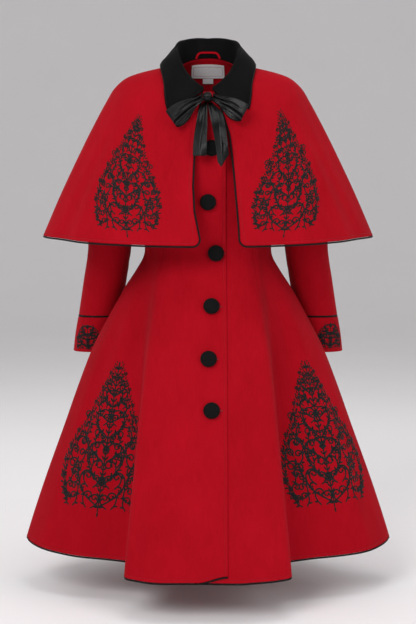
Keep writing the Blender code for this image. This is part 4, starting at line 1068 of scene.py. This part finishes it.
def makeButtonholes():
    paths, normals = [], []
    for number in range(len(buttonPlaces)):
        angle, row = buttonSeat(number)[5:]
        reach = np.linspace(holes["start"], holes["end"], holes["count"]) * mm
        at = angle + angleForLength(bodyPoint, angle, row, reach)
        line = bodyPoint(at, row)
        n = surfaceNormal(bodyPoint, at, np.full_like(at, row))
        paths.append(line + n * (buttonDents(line) + 0.15 * mm)[:, None])
        normals.append(n)
    half = holes["half"] * mm * (1 + 0.12 * np.sin(np.arange(holes["count"]) * 1.9))
    rings = tubeRings(np.array(paths), np.array(normals), half, holes["high"] * mm, 8)
    meshPiece("buttonholes", rings, tubeFaces(rings), redThread, sharp=60)


makeButtonholes()
print("buttonholes made")

# The bow: a pleated knot, two folded loops and two tails of one ribbon.
bowCloth = dict(loopTurns=97, loopColumns=37, tailRows=70, tailColumns=29, pleats=4.0, pleatDepth=1.5 * mm,
                selvedge=0.35 * mm, slip=8.0 * mm, mouth=14 * mm, slit=3.6 * mm, crease=2.6 * mm)
knotCloth = dict(sides=64, rows=33, square=0.8, ribs=3.5, ribDepth=1.1 * mm, full=1.12)


# Middle of the knot, which stands in front of the coat and of the cape, and the coat's depth there.
def bowCentre():
    knotZ, half = bowKnot["z"], bowKnot["halfZ"]
    coatDepth = frontDepth(bodyPoint, np.linspace(18, neckRow, 161), 0.0, knotZ - 0.4 * half) - 0.5 * mm
    capeDepth = frontDepth(capePoint, np.linspace(0, 7, 141), 0.0, knotZ - 0.85 * half)
    return np.array((bowKnot["x"], min(coatDepth, capeDepth) - bowKnot["halfY"], knotZ)), coatDepth


# Unit normals of a grid of points.
def gridNormals(grid):
    return unit(np.cross(np.gradient(grid, axis=0), np.gradient(grid, axis=1)))


# A length of the ribbon: ribs is the height of its pleats over the grid.
def ribbonPiece(node, grid, n, ribs):
    outer, inner = clothSides(grid, n, ribbonWall, {}, ribs)
    piece = wallPiece("ribbon_" + node[4:], outer, inner, blackSatin, [node], uv=clothMap(grid))
    cutSheet(grid)


# A rounded block: the cosines and sines of a ball, each to a power that squares it.
def makeKnot(centre, coatDepth):
    depth = (coatDepth - centre[1] + bowKnot["halfY"]) / 2
    turns, lifts = np.meshgrid(np.linspace(0, 360, knotCloth["sides"], endpoint=False),
                               np.linspace(-80, 80, knotCloth["rows"]))
    rounded = lambda c: np.sign(c) * np.abs(c) ** knotCloth["square"]
    cosLift, sinLift = rounded(np.cos(np.radians(lifts))), rounded(np.sin(np.radians(lifts)))
    x = cosLift * rounded(np.cos(np.radians(turns)))
    # pleats of the wrapped ribbon run over the knot from top to bottom, a little aslant
    rib = np.cos(2 * np.pi * knotCloth["ribs"] * (x + 0.22 * np.sin(np.radians(lifts))))
    shape = np.stack([knotCloth["full"] * bowKnot["halfX"] * x,
                      depth * cosLift * rounded(np.sin(np.radians(turns))),
                      knotCloth["full"] * bowKnot["halfZ"] * sinLift], axis=-1)
    groove = ((0.5 - 0.5 * rib) * knotCloth["ribDepth"])[..., None]
    knot = centre + (0, depth - bowKnot["halfY"], 0) + shape - unit(shape) * groove
    uv = np.stack([(turns / 360) * 0.04, lifts / 160 * 0.03], -1)
    piece = meshPiece("ribbon_knot", knot, tubeFaces(knot[None]), blackSatin, ["bow_knot"], uv)


# A loop: the ribbon runs out from the knot, folds over and comes back behind.
def makeLoop(loop, centre):
    side = np.sign(loop["endX"])
    start = centre + np.array((side * (bowKnot["halfX"] + loop["start"] * mm), 0, 0))
    end = np.array((loop["endX"], centre[1], loop["endZ"]))
    # the end comes forward until the loop clears the cape under it
    for share in (0.45, 0.6, 0.8, 1.0):
        at = start * (1 - share) + end * share
        for drop in (-0.5, 0.0, 0.5):
            rest = frontDepth(capePoint, np.linspace(0, 7, 141), at[0], at[2] + drop * loop["width"])
            rest -= loopSwell + 1.5 * mm
            end[1] = min(end[1], (rest - start[1] * (1 - share)) / share)
    along = end - start
    across = np.array((np.sin(np.radians(loop["turn"])), 0, np.cos(np.radians(loop["turn"]))))
    across = unit(across - along * (across @ along) / (along @ along))
    forward = np.cross(unit(along), across)
    forward *= -np.sign(forward[1])
    turn = np.linspace(-168, 168, bowCloth["loopTurns"])
    reach = 0.5 - 0.5 * np.cos(np.radians(180 - np.abs(turn)))
    bulge = np.sin(np.radians(np.abs(turn)))
    bulge = np.where(np.abs(turn) > 90, 0.4 + 0.6 * bulge, bulge)
    swell = -loopSwell * np.sign(turn) * bulge
    widths = np.linspace(-0.5, 0.5, bowCloth["loopColumns"])
    mouth = bowCloth["mouth"]
    halfBand = mouth + (loop["width"] - mouth) * smoothStep(0.0, 0.95, reach)
    # the front layer rides a little higher than the back one, so the fold's dark mouth shows
    slip = bowCloth["slip"] * np.where(turn < 0, 0.5, -1.0) * smoothStep(0.1, 0.7, reach) * np.abs(bulge)
    band = (start + along * reach[:, None, None] + forward * swell[:, None, None]
            + across * (halfBand[:, None] * widths + slip[:, None])[..., None])
    n = gridNormals(band)
    middle = start + along * 0.5
    half = bowCloth["loopTurns"] // 4, bowCloth["loopColumns"] // 2
    n *= np.sign(np.sum(n[half] * (band[half] - middle)))
    # pleats gathered at the knot that fade outwards, one longer crease, a slit in front
    # and an uneven swell; the selvedge is a little thicker
    reach, front = reach[:, None], (turn < 0)[:, None]
    fan = np.cos(2 * np.pi * bowCloth["pleats"] * widths + 0.7 * side)
    gather = np.exp(-(reach / 0.42) ** 2)
    lone = np.exp(-((widths - 0.14 + 0.2 * reach) / 0.09) ** 2) * smoothStep(1.0, 0.5, reach)
    slit = np.exp(-((widths + 0.27) / 0.06) ** 2) * smoothStep(0.15, 0.4, reach)
    ribs = (-bowCloth["pleatDepth"] * (0.5 - 0.5 * fan) * gather - bowCloth["crease"] * lone
            - bowCloth["slit"] * slit * front + bowCloth["selvedge"] * (np.abs(widths) > 0.46)
            + 0.9 * mm * np.sin(9 * reach + 2 * side) * np.sin(2.2 * widths + 1))
    ribbonPiece(loop["name"], band, n, ribs)


# A tail: a band down from the knot, cut aslant at its end on the wearer's left.
def makeTail(node, table, centre):
    rows = np.linspace(0, len(table) - 1, bowCloth["tailRows"])
    share = (rows / rows[-1])[:, None]
    places = smoothTable(np.arange(len(table), dtype=float), table, rows)
    z, x, half, ahead = np.moveaxis(places, -1, 0)[..., None]
    across = np.linspace(-1, 1, bowCloth["tailColumns"])
    drop = 0
    if node == "bow_tail_left":
        drop = tailSlant * smoothStep(0.4, 1, share) * (0.4 - (1 - np.abs(across + 0.4) * 0.7))
    grid = np.stack([x + half * across, centre[1] + ahead + 1.5 * mm * np.cos(across * 2),
                     z + drop + 0 * across], axis=-1)
    n = gridNormals(grid)
    n *= -np.sign(n[..., 1:2])
    # lengthwise folds let out from the knot, one deeper fold, and a soft turn of the loose end
    folds = -1.5 * mm * (0.5 - 0.5 * np.cos(2.5 * np.pi * across + 0.5)) * np.exp(-(share / 0.45) ** 2)
    folds = folds - 1.7 * mm * np.exp(-((across - 0.3 + 0.5 * share) / 0.22) ** 2) * smoothStep(0.2, 0.6, share)
    folds = folds + 1.2 * mm * np.sin(7.5 * share + 1.4 * across) * smoothStep(0.15, 0.5, share)
    folds = folds + bowCloth["selvedge"] * (np.abs(across) > 0.93)
    ribbonPiece(node, grid, n, folds)


def makeBow():
    centre, coatDepth = bowCentre()
    makeKnot(centre, coatDepth)
    for loop in bowLoops:
        makeLoop(loop, centre)
    for node, table in bowTails.items():
        makeTail(node, table, centre)


makeBow()
print("bow made")

# The patches' numbers: half width, lowest and highest row, columns and rows of their grids.
neckTrim = dict(bandHalf=2.1 * mm, bandWall=1.4 * mm, patchWall=0.8 * mm, patchGap=1.6 * mm,
                patches=dict(neck_label=(37 * mm, 20.78, 21.68, 61, 19),
                             size_tag=(11.5 * mm, 20.40, 20.74, 25, 11)))


# Hanger loop: a narrow band along an arch on the stand of the collar.
def makeHangerLoop():
    shares = np.linspace(-1, 1, 61)
    path = np.stack([25 * mm * np.sign(shares) * np.abs(shares) ** 0.6,
                     0 * shares, 0.0340 - 0.014 * np.abs(shares) ** 3.5], axis=-1)
    path = evenPath(path, 1.2 * mm)
    angle = 180 - np.degrees(np.arcsin(np.clip(path[:, 0] / 0.066, -1, 1)))
    neck = bodyPoint(angle, np.full_like(angle, float(neckRow)))
    out = neck * (1, 1, 0) / np.linalg.norm(neck[:, :2], axis=1)[:, None]
    path = neck * (1, 1, 0) - out * (clothWall + 2.8 * mm) + path * (0, 0, 1)
    across = unit(np.cross(unit(np.gradient(path, axis=0)), out))
    spread = np.linspace(-1, 1, 9)
    band = path[:, None] + across[:, None] * (spread * neckTrim["bandHalf"])[:, None]
    crown = -out[:, None] * (0.35 * mm * (1 - spread**2))[:, None]
    wallPiece("cloth_hanger_loop", band + crown, band + out[:, None] * neckTrim["bandWall"], redWool,
              ["hanger_loop"], uv=clothMap(band))


# Plain label and plain size tag: thin walls a little inside the back, bowed across.
def makeNeckPatches():
    for name, (halfWidth, lowRow, highRow, columns, count) in neckTrim["patches"].items():
        rows = np.linspace(lowRow, highRow, count)
        spread = np.array([angleForArc(r, halfWidth) for r in rows])
        grid = 180 + spread[:, None] * np.linspace(-1, 1, columns)
        rowGrid = np.repeat(rows[:, None], columns, 1)
        n = surfaceNormal(bodyPoint, grid, rowGrid)
        flat = bodyPoint(grid, rowGrid) - n * (clothWall + neckTrim["patchGap"])
        bow = 0.35 * mm * np.cos(np.linspace(-1.5, 1.5, columns))[:, None]
        outer = flat - n * (neckTrim["patchWall"] + bow)
        piece = wallPiece("woven_" + name, outer, flat, labelCloth, [name], uv=clothMap(flat))
        cutSheet(flat)
        if name == "neck_label":
            makeBorder(outer, n)


# Border line: a shallow woven frame a little inside the label's edge.
def makeBorder(outer, n, top=3, side=4):
    edgeOf = lambda t: np.vstack([
        t[top, side:-side], t[top:-top, -side - 1], t[-top - 1, side:-side][::-1],
        t[top:-top, side][::-1], t[top, side:side + 1]])[None]
    rings = tubeRings(edgeOf(outer) - edgeOf(n) * 0.05 * mm, -edgeOf(n), 0.45 * mm, 0.15 * mm, 6)
    meshPiece("label_border", rings, tubeFaces(rings), labelEdge, sharp=60)


makeHangerLoop()
makeNeckPatches()
print("neck trim made")

# Embroidery: a tall drop of scrolls, leaves and small flowers of its own design, laid out
# flat in metres, across and up from the base, and mirrored about its middle line.
dropOutline = np.array([
    # height, half width, both as shares
    (0.0, 0.66), (0.05, 0.8), (0.14, 0.94), (0.24, 1), (0.34, 0.96), (0.46, 0.81), (0.58, 0.58),
    (0.68, 0.44), (0.78, 0.31), (0.88, 0.17), (1, 0.02)])


# Half width at a share of the height: the table's value, to a power below one for a broad motif.
def dropHalf(share, power=1.0):
    return np.interp(share, dropOutline[:, 0], dropOutline[:, 1]) ** power


# A scroll: a line whose bend grows towards its end, where it coils up; degrees and metres.
def scrollLine(x, y, heading, length, bend, coil, count=30):
    s = np.linspace(0, 1, count)
    angle = np.radians(heading + bend * s + coil * s**2.6)
    step = length / (count - 1)
    return np.stack([x + np.concatenate([[0], np.cumsum(np.cos(angle[:-1]) * step)]),
                     y + np.concatenate([[0], np.cumsum(np.sin(angle[:-1]) * step)])], -1), angle


# Lines and almonds of the right half of a motif: ribs sweep up from the stem to the rim,
# rows of curls grow between them, and small curls, leaves and flowers edge the outline.
def motifHalf(height, halfWidth, thread, power):
    lines, almonds = [], []

    def leaf(x, y, angle, long, wide):
        almonds.append((x + long / 2 * np.cos(angle), y + long / 2 * np.sin(angle), angle, long / 2, wide / 2))

    def scroll(x, y, heading, length, bend, coil, wide, ball, count=30):
        line, angle = scrollLine(x, y, heading, length, bend, coil, count)
        if line[:, 0].min() < 0.3 * thread:
            return None, None
        lines.append((line, wide))
        almonds.append((*line[-1], 0.0, ball, ball))
        return line, angle

    # ribs, heavier than the rest, with leaves on both sides
    at, index = 0.045, 0
    while at < 0.86:
        wide = dropHalf(at + 0.05, power) * halfWidth
        t = thread * (0.62 + 0.38 * wide / halfWidth)    # lines thin towards the tip
        line, angle = scroll(1.2 * t, at * height, 34 + 16 * (index % 2), 1.3 * wide + 5 * mm, -10, 250,
                             1.15 * t, 0.8 * t)
        if line is not None:
            for k in range(5, 27, 4):
                away = 0.9 if k % 8 == 5 else -0.9
                leaf(*line[k], angle[k] + away, 2.7 * t, 1.15 * t)
        at += (0.36 * wide + 12 * mm) / height
        index += 1
    # curls in rows, each on a stalk that comes up from the row below, hand by turns
    y, row = 0.065 * height, 0
    while y < 0.90 * height:
        wide = dropHalf(y / height + 0.02, power) * halfWidth
        t = thread * (0.58 + 0.42 * wide / halfWidth)
        size = (9.4 + 1.6 * (row % 2)) * mm * (0.62 + 0.38 * wide / halfWidth)
        size *= min(halfWidth / (76 * mm), 1.25)
        places = np.arange((1.05 + 0.9 * (row % 2)) * size, wide - 0.5 * size, 1.95 * size)
        for index, x in enumerate(places):
            hand = 1 if (index + row) % 2 else -1
            lean = 90 - (34 if row else 62) * hand + 24 * np.sin(2.1 * index + row)
            long = (5.7 + 0.9 * np.sin(1.7 * index + 2.3 * row)) * size
            line, angle = scroll(x - 0.5 * size * hand, y - 1.1 * size, lean, long, 80 * hand, 350 * hand,
                                 t, 0.75 * t, 34)
            if line is not None:
                leaf(*line[4], angle[4] - 0.9 * hand, 2.7 * t, 1.25 * t)
                leaf(*line[13], angle[13] - 0.7 * hand, 2.7 * t, 1.25 * t)
            if (index + 2 * row) % 5 == 2 and x < wide - 1.6 * size:
                flowerAt(almonds, x + 1.25 * size, y + 0.5 * size, 1.45 * t, 5, 0.4 * index)
        y += 1.78 * size
        row += 1
    # the rim: outward curls and leaves that follow the outline
    rim = np.linspace(0.06, 0.95, int(height / (11.5 * mm)))
    for index, at in enumerate(rim):
        wide = dropHalf(at, power) * halfWidth
        t = thread * (0.62 + 0.38 * wide / halfWidth)
        widening = (dropHalf(at + 0.04, power) - dropHalf(at, power)) * halfWidth
        slope = np.arctan2(0.04 * height, widening)
        size = (7.5 + 2.2 * (index % 3)) * mm * (0.65 + 0.35 * wide / halfWidth)
        scroll(wide - 2.6 * t, at * height - 2 * mm, np.degrees(slope) - 52, 1.9 * size, 20, 300,
               0.85 * t, 0.7 * t, 24)
        leaf(wide - 0.9 * t, at * height, slope - 1.2, 2.9 * t, 1.15 * t)
        leaf(wide - 1.2 * t, at * height + 4.5 * mm, slope - 0.5, 2.6 * t, 1.0 * t)
        if index % 3 == 1 and wide > 12 * mm:
            flowerAt(almonds, wide + 0.2 * t, at * height + 6 * mm, 1.5 * t, 5, 0.5 * index)
    return lines, almonds


def flowerAt(almonds, x, y, size, petals, turn):
    for k in range(petals):
        a = turn + 2 * np.pi * k / petals
        almonds.append((x + 0.72 * size * np.cos(a), y + 0.72 * size * np.sin(a), a, 0.55 * size, 0.34 * size))
    almonds.append((x, y, 0.0, 0.26 * size, 0.26 * size))


# The stem on the middle line with paired leaves, open flowers and the bud at the tip.
def motifMiddle(height, thread):
    up = np.linspace(0.01, 0.95, 70)
    lines, almonds = [(np.stack([0 * up, up * height], -1), 0.9 * thread)], []
    for share in np.linspace(0.03, 0.88, int(height / (12.5 * mm))):
        for turn in (0.95, np.pi - 0.95):
            almonds.append((1.9 * thread * np.cos(turn), share * height + 1.9 * thread * np.sin(turn), turn,
                            1.55 * thread, 0.52 * thread))
    for share, size in ((0.20, 2.2), (0.42, 2.1), (0.62, 1.8)):
        flowerAt(almonds, 0.0, share * height, size * thread, 6, 0.5)
    for share, turn, long in ((0.93, 0.5, 4.4), (0.92, 0.33, 3.2), (0.92, 0.67, 3.2), (0.01, 1.5, 3.4)):
        a = np.pi * turn
        almonds.append((long / 2 * thread * np.cos(a), share * height + long / 2 * thread * np.sin(a), a,
                        long / 2 * thread, 0.55 * thread))
    return lines, almonds


def wholeMotif(height, halfWidth, thread, power):
    lines, almonds = motifHalf(height, halfWidth, thread, power)
    flip = np.array((-1.0, 1.0))
    lines = lines + [(line * flip, wide) for line, wide in lines]
    almonds = almonds + [(-x, y, np.pi - a, long, wide) for x, y, a, long, wide in almonds]
    moreLines, moreAlmonds = motifMiddle(height, thread)
    return lines + moreLines, almonds + moreAlmonds


# Regular patch of a piece of cloth round the line from base to tip: even steps up that line
# and to both sides along the cloth's own rows.
def clothPatch(outer, n, base, tip, halfWidth):
    behind = 1.0 * (n[..., 1] > 0)
    away = [np.linalg.norm(outer[..., [0, 2]] - np.array(place), axis=-1) + behind for place in (base, tip)]
    (rowA, colA), (rowB, colB) = [np.unravel_index(table.argmin(), table.shape) for table in away]
    share = np.linspace(-0.12, 1.08, 150)
    rows = np.clip(rowA + (rowB - rowA) * share, 0, len(outer) - 1.001)
    low, part = rows.astype(int), (rows - rows.astype(int))[:, None, None]
    line, facing = (t[low] * (1 - part) + t[low + 1] * part for t in (outer, n))
    across = lengthsAlong(line, 1)
    index = np.arange(outer.shape[1])
    steps = np.linspace(-1.15, 1.15, 121) * halfWidth
    middle = np.array([np.interp(c, index, a) for c, a in zip(colA + (colB - colA) * share, across)])
    columns = np.stack([np.interp(m + steps, a, index) for m, a in zip(middle, across)])
    left = np.clip(columns.astype(int), 0, outer.shape[1] - 2)[..., None]
    part = columns[..., None] - left
    pick = lambda t: (np.take_along_axis(t, left, 1) * (1 - part) + np.take_along_axis(t, left + 1, 1) * part)
    points = pick(line)
    up = lengthsAlong(points[:, 60], 0)
    zero, top = np.interp((0.0, 1.0), share, up)
    return dict(points=points, normals=unit(pick(facing)), up=up - zero, steps=steps, height=top - zero)


# Place and normal on a patch of flat points, between the patch's own points.
def layOn(patch, flat):
    rows, columns = len(patch["up"]), len(patch["steps"])
    r = np.interp(flat[..., 1], patch["up"], np.arange(rows))
    c = np.interp(flat[..., 0], patch["steps"], np.arange(columns))
    r0, c0 = np.minimum(r.astype(int), rows - 2), np.minimum(c.astype(int), columns - 2)
    fr, fc = (r - r0)[..., None], (c - c0)[..., None]
    return [(table[r0, c0] * (1 - fc) + table[r0, c0 + 1] * fc) * (1 - fr)
            + (table[r0 + 1, c0] * (1 - fc) + table[r0 + 1, c0 + 1] * fc) * fr
            for table in (patch["points"], patch["normals"])]


# One embroidered motif as a single mesh: every line is a flat padded cord that thins to its
# ends, every leaf and petal a low dome, all sunk a little into the cloth.
def motifPiece(name, patch, halfWidth, thread, power):
    lines, almonds = wholeMotif(patch["height"], halfWidth, thread, power)
    sides, count, lift = (motifSettings[key] for key in ("sides", "count", "lift"))
    turns = np.linspace(0, 2 * np.pi, sides, endpoint=False)
    share = np.linspace(0, 1, count)
    flat = np.array([[np.interp(share**0.7 * (len(line) - 1), np.arange(len(line)), line[:, k]) for k in (0, 1)]
                     for line, wide in lines]).transpose(0, 2, 1)
    wides = np.array([wide for line, wide in lines])[:, None]
    half = wides / 2 * (0.82 + 0.18 * np.sin(np.pi * share)) * (1 - 0.12 * share)
    place, n = layOn(patch, flat)
    across = unit(np.cross(unit(np.gradient(place, axis=1)), n))
    high = 1.05 * motifSettings["high"] * np.minimum(1, half / (0.9 * mm))
    cords = (place[:, :, None] + across[:, :, None] * (half[..., None] * np.cos(turns))[..., None]
             + n[:, :, None] * (high[..., None] * (np.sin(turns) + 0.15) + lift)[..., None])
    around = turns / 6.3 * 2 * mm
    cordMap = np.stack(np.broadcast_arrays(around, lengthsAlong(place, 1)[..., None]), -1).reshape(-1, 2)

    # leaves, petals and dots: three rings of an almond, the upper ones smaller
    turns = np.linspace(0, 2 * np.pi, 8, endpoint=False)
    x, y, angle, long, wide = np.array(almonds).T[:, :, None, None]
    scale, rise = np.array([[1.0, 0.86, 0.45], [-0.25, 0.55, 1.0]])[..., None]
    u, v = long * scale * np.cos(turns), wide * scale * np.sin(turns) * np.abs(np.sin(turns)) ** 0.2
    place, n = layOn(patch, np.stack([x + u * np.cos(angle) - v * np.sin(angle),
                                      y + u * np.sin(angle) + v * np.cos(angle)], -1))
    high = motifSettings["high"] * rise * (0.6 + 0.4 * np.minimum(1, wide / (1.2 * mm))) + lift * (rise > 0)
    domes = place + n * high[..., None]
    points = np.vstack([cords.reshape(-1, 3), domes.reshape(-1, 3)])
    faces = tubeFaces(cords) + [group + cords.size // 3 for group in tubeFaces(domes)]
    uv = np.vstack([cordMap, np.stack([v, u], -1).reshape(-1, 2)])
    return meshPiece(name, points, faces, darkThread, uv=uv, sharp=70)


# Where each motif stands on its cloth: base and tip as seen from the front, half width.
motifSettings = dict(sides=4, count=17, high=0.55 * mm, lift=0.22 * mm)
motifPlaces = {
    "cape_right": dict(base=(-0.1609, -0.3550), tip=(-0.1385, -0.1065), half=0.072, thread=2.9),
    "cape_left": dict(base=(0.1551, -0.3535), tip=(0.1432, -0.0950), half=0.072, thread=2.9),
    "skirt_right": dict(base=(-0.2341, -0.9336), tip=(-0.1832, -0.6170), half=0.103, thread=3.7),
    "skirt_left": dict(base=(0.2684, -0.9282), tip=(0.2005, -0.6170), half=0.103, thread=3.7),
    "cuff_right": dict(base=(-0.2638, -0.6086), tip=(-0.2629, -0.5600), half=0.032, thread=2.1, power=0.3),
    "cuff_left": dict(base=(0.2696, -0.6062), tip=(0.2682, -0.5580), half=0.032, thread=2.1, power=0.3)}


def makeEmbroidery():
    for name, at in motifPlaces.items():
        part, word = name.split("_")
        cloth = dict(cape=capeParts, cuff=cuffs, skirt=panels)[part]
        outer, n = cloth["side_front_" + word if part == "skirt" else word]
        patch = clothPatch(outer, n, at["base"], at["tip"], at["half"])
        piece = motifPiece("embroidery_" + name, patch, at["half"], at["thread"] * mm, at.get("power", 1.0))
        print("embroidery", name, "height", round(float(patch["height"]), 3), "faces", len(piece.data.polygons))


makeEmbroidery()
print("embroidery laid")

# Floor, soft light and the camera at the photograph's angle.
studio = dict(floorHeight=-1.12, floorRadius=6.0, coveRadius=4.0, wallTop=7.0, sides=96,
              floorColour=(0.90, 0.89, 0.90), world=(1.0, 0.98, 0.98), worldStrength=0.50)
# name, place, height aimed at, size and power of each light
lights = [("key", (-1.5, -3.0, 1.5), -0.5, 2.0, 77), ("fill", (2.2, -2.6, 0.4), -0.5, 2.2, 30),
          ("top", (0.2, -0.6, 2.6), -0.4, 1.6, 22), ("rim_left", (-2.4, 1.8, 0.8), -0.4, 1.4, 14),
          ("rim_right", (2.4, 1.8, 0.8), -0.4, 1.4, 14)]
photoView = dict(lens=80.48, sensor=36.0, place=(0, -3.0, -0.284), tilt=4.59)


def makeFloor():
    # a round bowl: level floor, then a wide curve up into a wall that goes all round
    turns = np.linspace(0, 2 * np.pi, studio["sides"], endpoint=False)
    bend = np.radians(np.linspace(0, 90, 13))
    level, rise = studio["floorRadius"], studio["coveRadius"]
    radii = np.concatenate([[0.5, 3.0], level + rise * np.sin(bend), [level + rise]])
    heights = studio["floorHeight"] + np.concatenate([[0, 0], rise * (1 - np.cos(bend)), [studio["wallTop"]]])
    ring = np.stack([radii[:, None] * np.cos(turns), radii[:, None] * np.sin(turns),
                     heights[:, None] + 0 * turns], -1)
    mesh = bpy.data.meshes.new("floor")
    faces = gridQuads(len(radii), len(turns), ring=True).tolist() + [list(range(len(turns)))[::-1]]
    mesh.from_pydata(ring.reshape(-1, 3).tolist(), [], [face[::-1] for face in faces])
    mesh.shade_smooth()
    material, tree, shader = newMaterial("pale_studio_floor")
    place = addNode(tree, "ShaderNodeTexCoord").outputs["Object"]
    ground = noiseOn(tree, place, (1, 1, 1), 2.0, 3.0)
    tone = np.array(studio["floorColour"])
    tree.links.new(rampOn(tree, ground, [(0.3, tone * 0.985), (0.7, tone)]), shader.inputs["Base Color"])
    setInputs(shader, {"Roughness": 0.85, "Specular IOR Level": 0.1})
    mesh.materials.append(material)
    floor = bpy.data.objects.new("floor", mesh)
    bpy.context.collection.objects.link(floor)


# A round lamp aimed at a height on the coat's middle line.
def addLight(name, place, aim, size, power):
    light = bpy.data.lights.new(name, "AREA")
    light.shape, light.size, light.energy = "DISK", size, power
    lamp = bpy.data.objects.new(name, light)
    lamp.location = place
    away = mathutils.Vector(place) - mathutils.Vector((0, 0, aim))
    lamp.rotation_euler = away.to_track_quat("Z", "Y").to_euler()
    bpy.context.collection.objects.link(lamp)


def makeStudio():
    makeFloor()
    world = bpy.data.worlds.new("studio")
    world.use_nodes = True
    background = world.node_tree.nodes["Background"]
    setInputs(background, {"Color": (*studio["world"], 1), "Strength": studio["worldStrength"]})
    bpy.context.scene.world = world
    for light in lights:
        addLight(*light)
    lens = bpy.data.cameras.new("camera")
    lens.sensor_width = lens.sensor_height = photoView["sensor"]
    lens.sensor_fit, lens.lens = "VERTICAL", photoView["lens"]
    camera = bpy.data.objects.new("camera", lens)
    camera.location = photoView["place"]
    camera.rotation_euler = (np.radians(90 - photoView["tilt"]), 0, 0)
    bpy.context.collection.objects.link(camera)
    bpy.context.scene.camera = camera
    bpy.context.scene.view_settings.view_transform = "Standard"


makeStudio()
print("studio made")

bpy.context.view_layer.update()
pieces = [o.data for o in bpy.data.objects if o.type == "MESH" and o.data.uv_layers]
triangles = [sum(len(p.vertices) - 2 for p in mesh.polygons) for mesh in pieces]
print("triangles of the mapped pieces:", sum(triangles), "most in one:", max(triangles))
